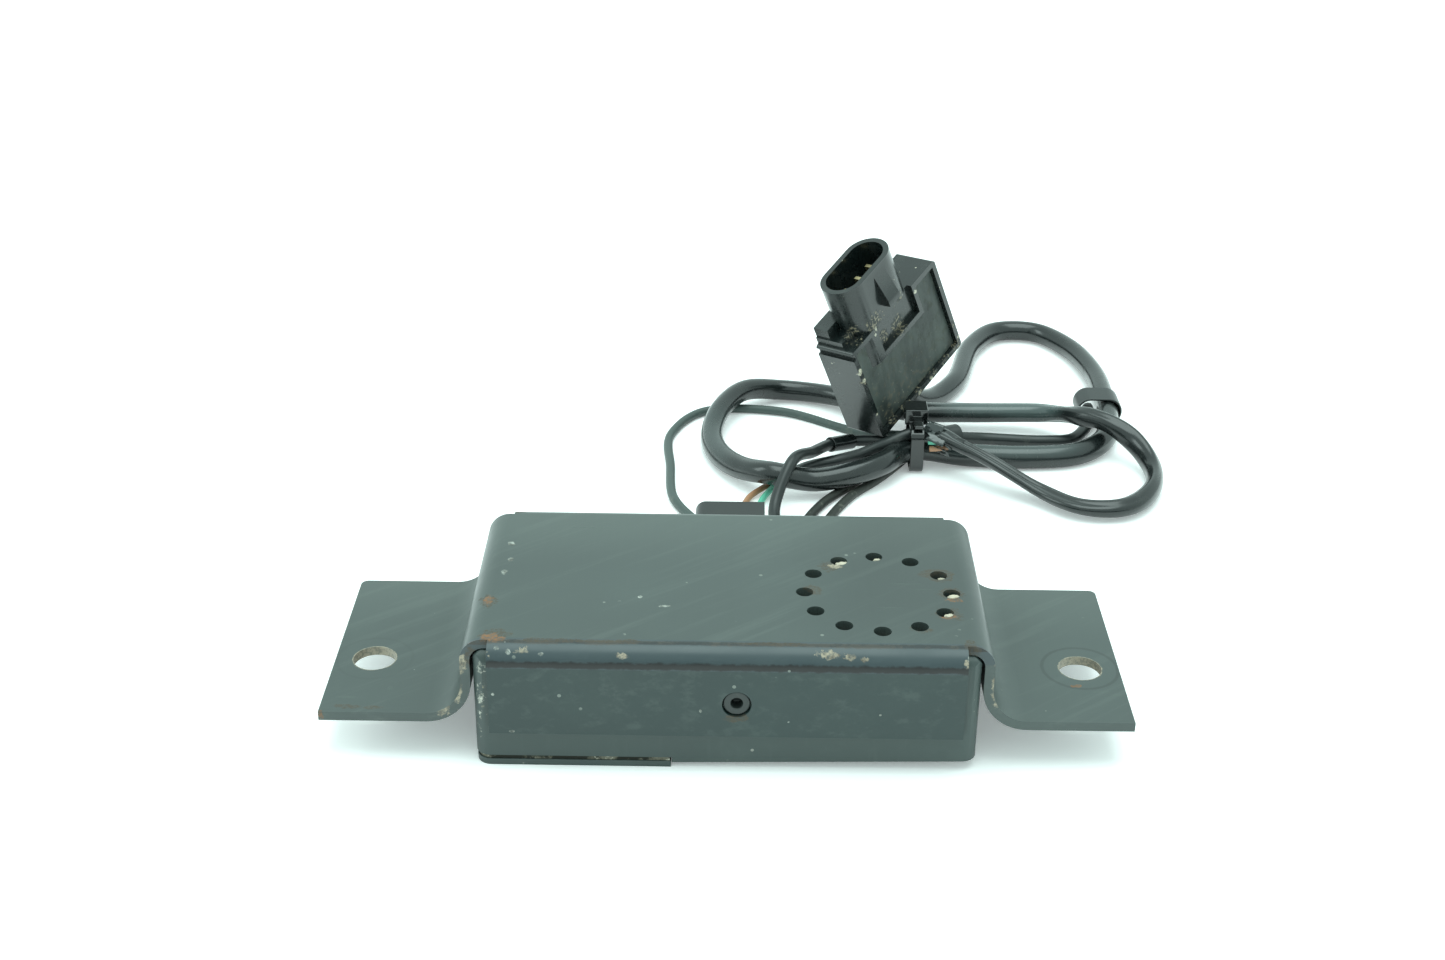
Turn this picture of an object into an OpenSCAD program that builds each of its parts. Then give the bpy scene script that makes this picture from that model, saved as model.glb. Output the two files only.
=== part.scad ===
// Vehicle alarm motion sensor: a steel hat bracket holds a moulded electronics box, and its
// wiring runs to a small potted connector block that lies beside it.
// X runs along the bracket, Y towards the wiring side, Z up. The origin is in the middle of
// the box's underside.

/* [Bracket] */
// Length of each ear, from the leg's outer face to the tip
ear_l = 29.2; // [24:0.1:40]
// Depth of the ears and of the flat top, front to back
ear_depth = 53; // [45:1:70]
// Thickness of the bracket's sheet
sheet_t = 2; // [1.5:0.1:2.5]
// Height of the bracket's top face above the floor
top_z = 28.7; // [26:0.1:36]
// Drop from the top face down to the ears' upper face
ear_drop = 17.6; // [14:0.1:20]
// Outer radius of the bend between the top and each leg
side_bend_r = 5; // [4:0.5:6]
// Inside radius of the bend between each leg and its ear
foot_bend_r = 7.5; // [4:0.5:8]
// Outer radius of the bend between the top and each flange
flange_bend_r = 3.8; // [3.2:0.1:4.5]
// Distance from each end of the box to the end of a flange
flange_inset = 3.3; // [3:0.1:8]
// Diameter of the hole in each ear
ear_hole_d = 9; // [5:0.5:11]
// Distance from each ear's tip to the middle of its hole
ear_hole_inset = 8.2; // [6:0.1:12]
// Place of the ear holes in front of the middle
ear_hole_y = -6.1; // [-12:0.1:12]

/* [Sound vents] */
// Number of vent holes in the ring
vent_n = 12; // [6:1:16]
// Diameter of each vent hole
vent_d = 3.6; // [2:0.1:4.5]
// Pitch circle diameter of the vent ring
vent_pcd = 30.4; // [24:0.2:34]
// Distance from the right end of the box to the middle of the vent ring
vent_inset = 19.8; // [19.8:0.1:24]
// Place of the vent ring along Y
vent_y = -6; // [-7:0.5:5]

/* [Box] */
// Length of the moulded box
box_l = 101.6; // [96:0.2:112]
// Wall thickness of the box
wall = 2; // [1.6:0.1:2.4]
// Radius of the box's upright corners
box_corner_r = 3; // [3:0.5:5]
// Gap between the box and the bracket round it
fit_gap = 0.1; // [0.05:0.05:0.3]
// Thickness of the bottom cover
cover_t = 1.4; // [1.2:0.1:1.6]
// Thickness of the circuit board
board_t = 1.6; // [1:0.2:2]
// Height of the circuit board's underside
board_z = 7.6; // [7.4:0.1:8.4]

/* [Sounder] */
// Height of the sounder case
sounder_h = 6; // [4:0.5:6]
// Diameter of the piezo disc
disc_d = 27; // [20:1:30]

/* [Motion element] */
// Length of the leaf spring that carries the weight
leaf_l = 16; // [12:1:18]
// Width of the weight
weight_w = 9; // [6:0.5:10]
// Place of the spring's clamped edge along X
motion_x = -31; // [-33:1:-28]
// Thickness of the leaf spring
leaf_t = 0.3; // [0.2:0.1:0.5]

/* [Connector block] */
// Length of the potted block
block_l = 39; // [39:1:46]
// Height of the potted block, along the socket
block_h = 30; // [26:1:36]
// Depth of the potted block
block_d = 12; // [10:0.5:16]
// Wall of the block and its socket
block_wall = 1.5; // [1:0.1:2]
// Length of the oval socket across its mouth
socket_l = 22.6; // [20:0.2:24]
// Width of the oval socket across its mouth
socket_w = 12.4; // [11:0.2:12.8]
// Height of the socket above the block
socket_h = 14.6; // [12:0.2:18]

/* [Cables] */
// Diameter of the main cable
main_d = 6; // [5:0.2:6]
// Diameter of the sounder lead
lead_d = 3; // [2.4:0.1:3]
// Diameter of the jacketed signal lead and of the branch lead
signal_d = 3.2; // [2.6:0.1:3.3]
// Diameter of the grey wire and of the two supply wires
wire_d = 2.4; // [1.8:0.1:2.4]
// Diameter of the orange and the green core
core_d = 1.6; // [1:0.1:1.6]

/* [Hidden] */

round_fn = 48;
tiny = 0.02;

// Bracket levels and outline
half_d = ear_depth / 2;
ear_top = top_z - ear_drop;
ear_under = ear_top - sheet_t;
leg_gap = 0.5;
leg_x = box_l / 2 + leg_gap + sheet_t;
half_l = leg_x + ear_l;
ear_hole_x = half_l - ear_hole_inset;
flange_w = box_l - 2 * flange_inset;
vent_x = box_l / 2 - vent_inset;
flange_y = half_d + flange_bend_r;
flange_bend_z = top_z - flange_bend_r;
ear_corner_r = 1.6;

// Box levels and outline
box_top = top_z - sheet_t - fit_gap;
box_half_l = box_l / 2;
box_half_d = flange_y - sheet_t - fit_gap;
box_edge_r = side_bend_r - sheet_t;
ceiling_z = box_top - wall;
cavity_half_l = box_half_l - wall;
cavity_half_d = box_half_d - wall;
skirt_z = 2.4;
apron_z = 1.2;
skirt_step_x = -11;

// Bottom cover: an outer sheet and a raised plug that fits inside the walls
cover_slip = 0.2;
cover_lip_z = cover_t + 2;
cover_set_back = 5;
pillar_d = 6;
pillar_bore = 2;
cover_screw_x = cavity_half_l - 3.6;
cover_screw_y = cavity_half_d - 3.6;
cover_hole_d = 2.4;
cover_screw_top = 12;
screw_head_d = 4.4;
screw_head_h = 1.2;

// Board, on four posts that hang from the box's ceiling
board_top = board_z + board_t;
board_l = box_l - 19.6;
board_w = ear_depth - 13;
board_screw_x = board_l / 2 - 3.5;
board_screw_y = board_w / 2 - 3.5;
post_d = 5.4;
post_bore = 2;
board_head_d = 3.8;

// Studs of the bracket
stud_xs = [2, -30];
stud_z = ear_under + 7.6;
stud_bore = 3.6;
stud_head_d = 5.4;
stud_head_gap = 0.25;
stud_seat = 1.3;
stud_head_t = 0.8;
stud_hollow = 2.4;
stud_tail_t = 0.8;

// Sounder, hung under the vent ring
mesh_t = 0.3;
mesh_d = [vent_pcd - vent_d - 1.2, vent_pcd + vent_d - 0.2];
gasket_t = 0.8;
sounder_wall = 0.7;
sounder_d = mesh_d[1] + 2 * sounder_wall;
sounder_top = ceiling_z - gasket_t;
sounder_z = sounder_top - sounder_h;
sounder_leg_r = 13;
ledge_t = 1;
disc_t = 0.5;
disc_z = sounder_z + 2.6;

// Motion element: the weight hangs out on a flat spring over the pick-up coil
base_h = 7;
clamp_l = 6;
clamp_h = 1.6;
clamp_w = 8;
leaf_w = 5;
leaf_gap = 0.1;
weight_l = 8;
weight_h = 3.6;
motion_y = 6;
leaf_z = board_top + base_h + leaf_t / 2;
leaf_end = motion_x + leaf_l;
coil_d = 7;
coil_h = 1.8;

// Trimmer
trim_at = [motion_x - 5, -5];
trim_l = 7;
trim_h = 4.6;
rotor_d = 4;
rotor_h = 2;
rotor_gap = 0.06;

// Header and plug at the back
header_x = 0.2;
header_w = 17.4;
header_h = 12.2;
header_z = ceiling_z - 0.2 - header_h;
header_wall = 1.2;
header_front = cavity_half_d - 12;
header_back = box_half_d - 0.4;
plug_slip = 0.3;
nose_w = header_w - 2 * (header_wall + plug_slip);
nose_h = header_h - 2 * (header_wall + plug_slip);
plug_mid_z = header_z + header_h / 2;
plug_start = flange_y + 0.4;
plug_end = flange_y + 13;
grip_w = 15.8;
grip_top = plug_mid_z + 5.4;
grip_low = plug_mid_z - 5;
window_gap = 0.6;
pin_w = 0.8;
pin_pitch = 4;
pin_zs = [plug_mid_z - 2, plug_mid_z + 2];
pin_xs = [header_x - pin_pitch, header_x, header_x + pin_pitch];

// Wire grommet beside the header
grommet_xs = [15, 19.5, 24];
grommet_z = 15;
grommet_h = 7;
grommet_l = grommet_xs[2] - grommet_xs[0] + 6;
grommet_mid_x = (grommet_xs[0] + grommet_xs[2]) / 2;
grommet_out = flange_y - 0.1;
grommet_in = cavity_half_d - 1;
grommet_lip = 0.8;

// Connector block pose: lying on its lower edge, leaning over the tied bundle
block_at = [40.7, 113.9, 6.1];
block_turn = [84.5, -24, 50.8];
socket_u = 17;
notch_u = 19.6;
notch_w = 16.6;
notch_v = block_h - 8.8;
notch_deep = 1.5;
groove_t = 0.8;
shoulder_u = 8.6;
socket_floor = block_h + 0.4;
potting_drop = 1.2;
exit_u = 22;
exit_w = 9;
latch_u = 18.5;
latch_w = 4.6;

// Routes of the free cords, end to end, chosen by hand
main_route = [[46.7, 135.4, 14.2], [48.8, 137.2, 8.5], [55.3, 144.4, 3.8], [64, 158, 3.1],
    [71.5, 184, 3.1], [80, 195.5, 3.1], [91.5, 195.5, 3.1], [100, 184.5, 3.1],
    [104.6, 166, 3.4], [104.8, 148, 3.8], [104, 135, 3.8], [100.5, 120.5, 3.4],
    [92, 112.5, 3.1], [78, 110, 3.1], [62, 111, 3.1], [50.5, 110.6, 4.8],
    [44.5, 106.5, 5.6], [39.5, 99, 6.2], [32, 94, 5.8], [21.5, 91.5, 4.9],
    [11, 91, 6.9], [3, 98.5, 4.6], [-3, 110, 3.1], [-5, 122, 3.2],
    [-2.5, 133.5, 5.2], [4, 144.5, 5.7], [14, 150.5, 3.3], [26, 148, 3.3],
    [38, 139.5, 4.6], [48.5, 131.6, 6], [66, 132.8, 5.2], [84.5, 131.5, 6],
    [93.5, 124, 8.8], [100.5, 118, 9.7], [107, 112.5, 6.9], [110.5, 103.5, 3.6],
    [108, 91.5, 3.1], [99.5, 82.5, 3.1], [89, 82.5, 3.1], [79.5, 90.5, 3.4],
    [67, 98.3, 7.8], [55.5, 108, 9.7]];
signal_route = [[54.9, 108.6, 9.7], [48, 110, 9.6], [41, 107.8, 7.6], [34.5, 108.5, 4],
    [28, 108.5, 2], [20, 104.8, 1.7], [10.5, 94, 1.7]];
lead_route = [[15, 30.3, 15], [14.6, 48, 10], [12.2, 69, 1.9], [11.4, 79.5, 3.4],
    [16, 90.5, 10.9], [21.5, 101, 8.2], [26.5, 112, 5], [33, 118, 3.3],
    [47, 115.7, 4.9], [54.5, 117, 5.2]];
grey_route = [[-4, 43.4, 18.4], [-4.8, 58, 10], [-7, 72.5, 1.8], [-14, 87, 1.2],
    [-15.6, 106, 1.2], [-16, 125, 1.2], [-7, 140, 1.2], [14, 140.5, 1.2],
    [34, 128.5, 1.2], [47, 119.3, 4.6], [54.5, 119.8, 4.4]];
supply_route = [[24, 30.3, 15], [23.7, 52, 7], [23.2, 72, 1.3], [31, 89.5, 1.3],
    [38.7, 99.6, 1.3], [45.6, 110.2, 1.4], [48.5, 114.6, 2.3], [54.5, 116.3, 2.4]];
ground_route = [[19.5, 30.3, 15], [19.2, 52, 7], [18, 72, 1.3], [24, 86, 1.3],
    [32.8, 97.8, 1.3], [38.4, 108.2, 1.3], [48, 117.2, 2.3], [54.5, 118.9, 2.3]];
orange_route = [[5.2, 43.4, 19.4], [4.2, 60, 9], [2.8, 77, 1.1], [5, 88.5, 1.1],
    [10, 94.8, 1.7]];
green_route = [[7, 43.4, 19.4], [7, 60, 9], [6.6, 77, 1.1], [8.4, 87.5, 1.1],
    [11.4, 93.9, 1.7]];
branch_route = [[60.8, 121, 3.2], [68, 123.6, 1.9], [85, 122.8, 1.7], [93, 124.6, 1.7],
    [99.2, 135.5, 2.7], [99.5, 142, 3]];

// Tie, splice, shrink boot and band on the bundle
tie_x = 49;
tie_w = 3.6;
tie_t = 0.9;
tie_low = [105, 0];
tie_high = [121.4, 12.2];
tie_head = [6, 6.4, 4.2];
splice_from = [52.4, 117.3, 3.7];
splice_to = [61.4, 121.3, 3.6];
splice_d = 6.6;
shrink_at = [26.5, 112, 5];
shrink_to = [32.6, 117.6, 3.4];
band_at = [102.1, 141.5];
band_l = 8;
band_t = 0.5;

// Direction of a line from one point to the next
function toward(a, b) = (b - a) / norm(b - a);
// Tangent of a route at point i
function tangent(p, i) = toward(p[max(i - 1, 0)], p[min(i + 1, len(p) - 1)]);
// A side vector that stays level, so the rings along a route never twist
function side(t) = let (s = cross(t, [0, 0, 1])) s / norm(s);
// One ring of the tube, square to the route
function ring(c, t, r, n) = let (s = side(t), u = cross(s, t))
    [for (k = [0 : n - 1]) c + r * (cos(360 * k / n) * s + sin(360 * k / n) * u)];

// A closed tube of n sides along a route
module tube(p, d, n) {
    m = len(p);
    polyhedron(
        points = [for (i = [0 : m - 1]) each ring(p[i], tangent(p, i), d / 2, n)],
        faces = concat(
            [[for (k = [n - 1 : -1 : 0]) k]],
            [for (i = [0 : m - 2], k = [0 : n - 1]) let (a = i * n + k, b = i * n + (k + 1) % n)
                [a, b, b + n, a + n]],
            [[for (k = [0 : n - 1]) (m - 1) * n + k]]));
}

// A plate with round upright corners, centred on X and Y
module round_plate(l, w, r, z0, z1) {
    translate([0, 0, z0]) linear_extrude(z1 - z0) round_rect(l, w, r);
}

module round_rect(l, w, r) {
    square([l - 2 * r, w], center = true);
    square([l, w - 2 * r], center = true);
    for (x = [-1, 1], y = [-1, 1])
        translate([x * (l / 2 - r), y * (w / 2 - r)]) circle(r, $fn = round_fn);
}

// A stadium with its long side along X
module stadium(l, w) {
    square([l - w, w], center = true);
    for (x = [-1, 1]) translate([x * (l - w) / 2, 0]) circle(w / 2, $fn = round_fn);
}

// A quarter ring in the first quadrant, for a sheet bend
module quarter_ring(r_out, r_in) {
    intersection() {
        difference() {
            circle(r_out, $fn = round_fn);
            circle(r_in, $fn = round_fn);
        }
        square(r_out + 1);
    }
}

// Half of the bracket's front view: top, bend, leg, foot bend and ear
module hat_half() {
    leg_low = ear_top + foot_bend_r;
    translate([-tiny, top_z - sheet_t]) square([leg_x - side_bend_r + 2 * tiny, sheet_t]);
    translate([leg_x - side_bend_r, top_z - side_bend_r])
        quarter_ring(side_bend_r, side_bend_r - sheet_t);
    translate([leg_x - sheet_t, leg_low - tiny])
        square([sheet_t, top_z - side_bend_r - leg_low + 2 * tiny]);
    translate([leg_x + foot_bend_r, leg_low]) rotate(180)
        quarter_ring(foot_bend_r + sheet_t, foot_bend_r);
    translate([leg_x + foot_bend_r - tiny, ear_under])
        square([half_l - leg_x - foot_bend_r + tiny, sheet_t]);
}

// One flange, bent down from the back edge of the top
module flange() {
    rotate([90, 0, 90]) translate([0, 0, -flange_w / 2]) linear_extrude(flange_w) {
        translate([half_d, flange_bend_z])
            quarter_ring(flange_bend_r, flange_bend_r - sheet_t);
        translate([flange_y - sheet_t, ear_under])
            square([sheet_t, flange_bend_z - ear_under + tiny]);
        translate([half_d - 1, top_z - sheet_t]) square([1 + tiny, sheet_t]);
    }
}

// The waste outside an ear's rounded back corner
module ear_corner_waste() {
    translate([half_l - ear_corner_r, half_d - ear_corner_r, ear_under - 1])
        difference() {
            cube([ear_corner_r + 1, ear_corner_r + 1, sheet_t + 2]);
            translate([0, 0, -1]) cylinder(sheet_t + 4, r = ear_corner_r, $fn = round_fn);
        }
}

module bracket() {
    color("#23282a") difference() {
        union() {
            rotate([90, 0, 0]) translate([0, 0, -half_d]) linear_extrude(ear_depth) {
                hat_half();
                mirror([1, 0]) hat_half();
            }
            flange();
            mirror([0, 1, 0]) flange();
        }
        for (s = [-1, 1]) {
            translate([s * ear_hole_x, ear_hole_y, ear_under - 1])
                cylinder(sheet_t + 2, d = ear_hole_d, $fn = round_fn);
            mirror([s < 0 ? 1 : 0, 0, 0]) ear_corner_waste();
            stud_hole(s);
        }
        for (k = [0 : vent_n - 1])
            translate([vent_x, vent_y, 0]) rotate(360 * k / vent_n)
                translate([vent_pcd / 2, 0, top_z - sheet_t - 1])
                    cylinder(sheet_t + 2, d = vent_d, $fn = round_fn);
        rear_window(header_w + 2 * window_gap, header_h + 2 * window_gap, header_x, plug_mid_z);
        rear_window(grommet_l + 2 * window_gap, grommet_h + 2 * window_gap,
            grommet_mid_x, grommet_z);
    }
}

// A window through the back flange only
module rear_window(w, h, x, z) {
    z1 = min(z + h / 2, flange_bend_z);
    translate([x - w / 2, half_d + 1, z - h / 2]) cube([w, flange_bend_r, z1 - z + h / 2]);
}

// Place of a stud: s is -1 at the front flange, 1 at the back
module at_stud(s, depth) {
    translate([stud_xs[s < 0 ? 0 : 1], s * (flange_y - depth), stud_z]) rotate([s * 90, 0, 0])
        children();
}

// Stepped hole of a stud
module stud_hole(s) {
    at_stud(s, 0) {
        translate([0, 0, -1]) cylinder(1 + stud_seat, d = stud_head_d + 2 * stud_head_gap,
            $fn = round_fn);
        cylinder(sheet_t + fit_gap + wall + 1, d = stud_bore, $fn = round_fn);
    }
}

module bracket_rivets() {
    reach = sheet_t + fit_gap + wall - stud_seat;
    color("#1b1f20") for (s = [-1, 1]) at_stud(s, stud_seat) difference() {
        union() {
            translate([0, 0, -stud_head_t]) cylinder(stud_head_t, d = stud_head_d,
                $fn = round_fn);
            translate([0, 0, -tiny]) cylinder(reach + stud_tail_t, d = stud_bore - 0.04,
                $fn = round_fn);
            translate([0, 0, reach]) cylinder(stud_tail_t, d = stud_head_d, $fn = round_fn);
        }
        translate([0, 0, -stud_head_t - 1]) cylinder(stud_head_t + reach, d = stud_hollow,
            $fn = round_fn);
    }
}

// The box's outer form: round upright corners and round top edges
module box_form() {
    intersection() {
        round_plate(box_l, 2 * box_half_d, box_corner_r, skirt_z, box_top);
        rotate([90, 0, 0]) linear_extrude(4 * box_half_d, center = true)
            arch(box_half_l, skirt_z, box_top, box_edge_r);
        rotate([90, 0, 90]) linear_extrude(4 * box_half_l, center = true)
            arch(box_half_d, skirt_z, box_top, box_edge_r);
    }
}

// A rectangle from z0 to z1 whose two top corners are round
module arch(half_w, z0, z1, r) {
    translate([-half_w, z0]) square([2 * half_w, z1 - r - z0]);
    translate([-half_w + r, z0]) square([2 * (half_w - r), z1 - z0]);
    for (x = [-1, 1]) translate([x * (half_w - r), z1 - r]) circle(r, $fn = round_fn);
}

// Places of the pillars that take the cover screws
module at_pillars() {
    for (x = [-1, 1], y = [-1, 1]) translate([x * cover_screw_x, y * cover_screw_y, 0])
        children();
}

// Places of the posts that take the board screws; the sounder keeps one corner clear
module at_posts() {
    for (p = [[-board_screw_x, -board_screw_y], [-board_screw_x, board_screw_y],
            [board_screw_x, board_screw_y], [vent_x - 23, -board_screw_y]])
        translate([p[0], p[1], 0]) children();
}

module vent_holes(z0, h) {
    for (k = [0 : vent_n - 1]) translate([vent_x, vent_y, z0]) rotate(360 * k / vent_n)
        translate([vent_pcd / 2, 0, 0]) cylinder(h, d = vent_d, $fn = round_fn);
}

module box_shell() {
    color("#1a1d1e") difference() {
        union() {
            difference() {
                box_form();
                round_plate(2 * cavity_half_l, 2 * cavity_half_d, 1, -1, ceiling_z);
            }
            at_pillars() translate([0, 0, cover_lip_z])
                cylinder(ceiling_z - cover_lip_z + tiny, d = pillar_d, $fn = round_fn);
            at_posts() translate([0, 0, board_top])
                cylinder(ceiling_z - board_top + tiny, d = post_d, $fn = round_fn);
            apron();
        }
        at_pillars() translate([0, 0, -1])
            cylinder(cover_screw_top + 1.4, d = pillar_bore, $fn = round_fn);
        at_posts() translate([0, 0, board_top - 1]) cylinder(9, d = post_bore, $fn = round_fn);
        vent_holes(ceiling_z - 1, wall + 2);
        for (s = [-1, 1]) at_stud(s, 0)
            cylinder(sheet_t + fit_gap + wall + 1, d = stud_bore, $fn = round_fn);
        box_window(header_w + 0.4, header_h + 0.4, header_x, plug_mid_z);
        box_window(grommet_l - 2 * grommet_lip, grommet_h - 2 * grommet_lip,
            grommet_mid_x, grommet_z);
    }
}

// A window through the back wall of the box
module box_window(w, h, x, z) {
    z1 = min(z + h / 2, ceiling_z);
    translate([x - w / 2, cavity_half_d - 1, z - h / 2]) cube([w, wall + 2, z1 - z + h / 2]);
}

// The front skirt's lower right edge, which hangs a little lower next to the cover's step
module apron() {
    rotate([90, 0, 0]) translate([0, 0, cavity_half_d]) linear_extrude(wall)
        polygon([[skirt_step_x, apron_z], [box_half_l - box_corner_r, skirt_z - tiny],
            [box_half_l - box_corner_r, skirt_z + 1], [skirt_step_x, skirt_z + 1]]);
}

// Outline of the cover's outer sheet, set back along the front right
module cover_outline(inset) {
    difference() {
        round_rect(box_l - 2 * inset, 2 * (box_half_d - inset), box_corner_r);
        translate([skirt_step_x - inset, -box_half_d - 1])
            square([box_l, cover_set_back + 1 + inset]);
    }
}

module box_cover() {
    color("#202425") difference() {
        union() {
            linear_extrude(cover_t) cover_outline(0.15);
            round_plate(2 * (cavity_half_l - cover_slip), 2 * (cavity_half_d - cover_slip), 1,
                cover_t - tiny, cover_lip_z);
        }
        at_pillars() {
            translate([0, 0, -1]) cylinder(cover_lip_z + 2, d = cover_hole_d, $fn = round_fn);
            translate([0, 0, -1]) cylinder(screw_head_h + 1.1, d = screw_head_d + 0.3,
                $fn = round_fn);
        }
    }
}

module cover_seal() {
    color("#8d8a78") translate([0, 0, cover_t]) linear_extrude(skirt_z - cover_t)
        difference() {
            cover_outline(0.4);
            square([2 * cavity_half_l + 0.2, 2 * cavity_half_d + 0.2], center = true);
            translate([skirt_step_x - 0.2, -box_half_d]) square([box_l, wall + 1]);
        }
}

// A screw with its head down, its slot cut across the head
module screw(head_d, head_h, shank_d, shank_l) {
    difference() {
        union() {
            cylinder(head_h, d = head_d, $fn = round_fn);
            cylinder(head_h + shank_l, d = shank_d, $fn = round_fn);
        }
        translate([0, 0, head_h * 0.2]) cube([head_d * 0.7, 0.6, head_h], center = true);
        translate([0, 0, head_h * 0.2]) cube([0.6, head_d * 0.7, head_h], center = true);
    }
}

module cover_screws() {
    color("#8f9494") at_pillars() translate([0, 0, 0.1])
        screw(screw_head_d, screw_head_h, pillar_bore - 0.04, cover_screw_top - screw_head_h);
}

module circuit_board() {
    color("#2c5a3c") difference() {
        round_plate(board_l, board_w, 1, board_z, board_top);
        at_posts() translate([0, 0, board_z - 1])
            cylinder(board_t + 2, d = cover_hole_d, $fn = round_fn);
    }
}

module board_screws() {
    color("#b6baba") at_posts() translate([0, 0, board_z - screw_head_h])
        screw(board_head_d, screw_head_h, post_bore - 0.04, board_t + 5);
}

// A flat chip with legs along two sides
module chip(l, w, h, legs) {
    translate([-l / 2, -w / 2, 0.2]) cube([l, w, h]);
    for (s = [-1, 1], k = [0 : legs - 1])
        translate([(k - (legs - 1) / 2) * (l - 1) / legs - 0.2, s * (w / 2 + 0.35) - 0.6, 0])
            cube([0.4, 1.2, 0.5]);
}

module controller_chips() {
    color("#15171a") translate([0, 0, board_top]) {
        translate([-7, -9, 0]) chip(11, 7.5, 1.8, 10);
        translate([vent_x - 8, -6, 0]) chip(6, 4.2, 1.5, 4);
        translate([vent_x + 7, 4, 0]) chip(6, 4.2, 1.5, 4);
    }
}

module capacitors() {
    color("#2b3550") for (x = [-26, -18]) translate([x, -13, board_top]) {
        cylinder(7.4, d = 6.3, $fn = round_fn);
        translate([0, 0, 7.3]) cylinder(0.5, d = 5.2, $fn = round_fn);
    }
}

module driver_transistor() {
    color("#1d1f22") translate([2, 6, board_top]) {
        translate([-5, -2.2, 3]) cube([10, 4.4, 7.5]);
        for (x = [-2.5, 0, 2.5]) translate([x - 0.4, -0.3, 0]) cube([0.8, 0.6, 3.1]);
    }
}

// Rows of small surface parts
module small_parts() {
    color("#b59a6a") translate([0, 0, board_top]) {
        for (k = [0 : 4]) translate([-12 + 3.4 * k, -16.5, 0]) cube([2, 1.2, 0.6]);
        for (k = [0 : 3]) translate([-12, -1 + 3 * k, 0]) cube([2, 1.2, 0.6]);
        for (k = [0 : 3]) translate([vent_x - 12 + 5 * k, 12, 0]) cube([3, 1.6, 0.9]);
    }
}

// An upright ring
module pipe(d_out, d_in, z0, z1) {
    translate([0, 0, z0]) difference() {
        cylinder(z1 - z0, d = d_out, $fn = round_fn);
        translate([0, 0, -1]) cylinder(z1 - z0 + 2, d = d_in, $fn = round_fn);
    }
}

module at_vents() {
    translate([vent_x, vent_y, 0]) children();
}

module sounder_case() {
    color("#101213") at_vents() {
        pipe(sounder_d, sounder_d - 2 * sounder_wall, sounder_z, sounder_top);
        pipe(disc_d + 3, disc_d - 4, sounder_z, disc_z);
        pipe(disc_d + 3, disc_d + 0.4, disc_z - tiny, disc_z + disc_t);
        translate([0, 0, sounder_z]) cylinder(ledge_t, d = sounder_d - 1, $fn = round_fn);
        for (a = [90, 210, 330]) rotate(a) translate([sounder_leg_r, 0, board_top])
            cylinder(sounder_z - board_top + tiny, d = 2, $fn = round_fn);
    }
}

module sounder_disc() {
    color("#c79a3b") at_vents() {
        translate([0, 0, disc_z]) cylinder(disc_t / 2, d = disc_d, $fn = round_fn);
        translate([0, 0, disc_z + disc_t / 2]) cylinder(disc_t / 2, d = disc_d * 0.7,
            $fn = round_fn);
    }
}

module vent_mesh() {
    color("#d8d8cf") at_vents()
        pipe(mesh_d[1], mesh_d[0], ceiling_z - mesh_t, ceiling_z - 0.02);
}

module sounder_gasket() {
    color("#3a3d3f") at_vents()
        pipe(sounder_d, mesh_d[1] + 0.1, sounder_top, ceiling_z);
}

module motion_base() {
    color("#26292c") translate([motion_x - clamp_l, motion_y - clamp_w / 2, board_top])
        difference() {
            cube([clamp_l, clamp_w, base_h]);
            translate([clamp_l / 2, clamp_w / 2, 1]) cylinder(base_h, d = 1.6,
                $fn = round_fn);
        }
}

// The clamp plate, and under it the spring's fixed end
module spring_clamp() {
    color("#a9adb0") translate([motion_x - clamp_l, motion_y - clamp_w / 2,
            board_top + base_h + leaf_t])
        difference() {
            cube([clamp_l, clamp_w, clamp_h]);
            translate([clamp_l / 2, clamp_w / 2, -1]) cylinder(clamp_h + 2, d = 1.6,
                $fn = round_fn);
        }
}

module leaf_root() {
    color("#c9cbc4") translate([motion_x - clamp_l, motion_y - clamp_w / 2,
            board_top + base_h])
        difference() {
            cube([clamp_l, clamp_w, leaf_t]);
            translate([clamp_l / 2, clamp_w / 2, -1]) cylinder(3, d = 1.6, $fn = round_fn);
        }
}

module clamp_screw() {
    color("#b6baba") translate([motion_x - clamp_l / 2, motion_y,
            board_top + base_h + leaf_t + clamp_h + 1.2])
        rotate([180, 0, 0]) screw(3.2, 1.2, 1.56, leaf_t + clamp_h + 4);
}

module leaf_spring() {
    color("#c9cbc4") translate([motion_x + leaf_gap, motion_y - leaf_w / 2,
            leaf_z - leaf_t / 2])
        cube([leaf_l - weight_l - leaf_gap, leaf_w, leaf_t]);
}

module pendulum_weight() {
    color("#8b8f92") translate([leaf_end - weight_l, motion_y - weight_w / 2,
            leaf_z - weight_h / 2])
        cube([weight_l, weight_w, weight_h]);
}

module pickup_coil() {
    color("#a5532a") translate([leaf_end - weight_l / 2, motion_y, 0])
        pipe(coil_d, 3, board_top, board_top + coil_h);
}

module trimmer_body() {
    color("#2f5fa8") translate([trim_at[0], trim_at[1], board_top]) difference() {
        translate([-trim_l / 2, -trim_l / 2, 0]) cube([trim_l, trim_l, trim_h]);
        translate([0, 0, trim_h - rotor_h])
            cylinder(rotor_h + 1, d = rotor_d + 2 * rotor_gap, $fn = round_fn);
    }
}

module trimmer_rotor() {
    color("#e6e2d4") translate([trim_at[0], trim_at[1], board_top + trim_h - rotor_h + 0.05])
        difference() {
            cylinder(rotor_h, d = rotor_d, $fn = round_fn);
            translate([0, 0, rotor_h]) cube([rotor_d * 0.8, 0.7, 1.4], center = true);
        }
}

// A bar along Y with a rectangular section
module bar(x, z, w, h, y0, y1) {
    translate([x - w / 2, y0, z - h / 2]) cube([w, y1 - y0, h]);
}

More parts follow.
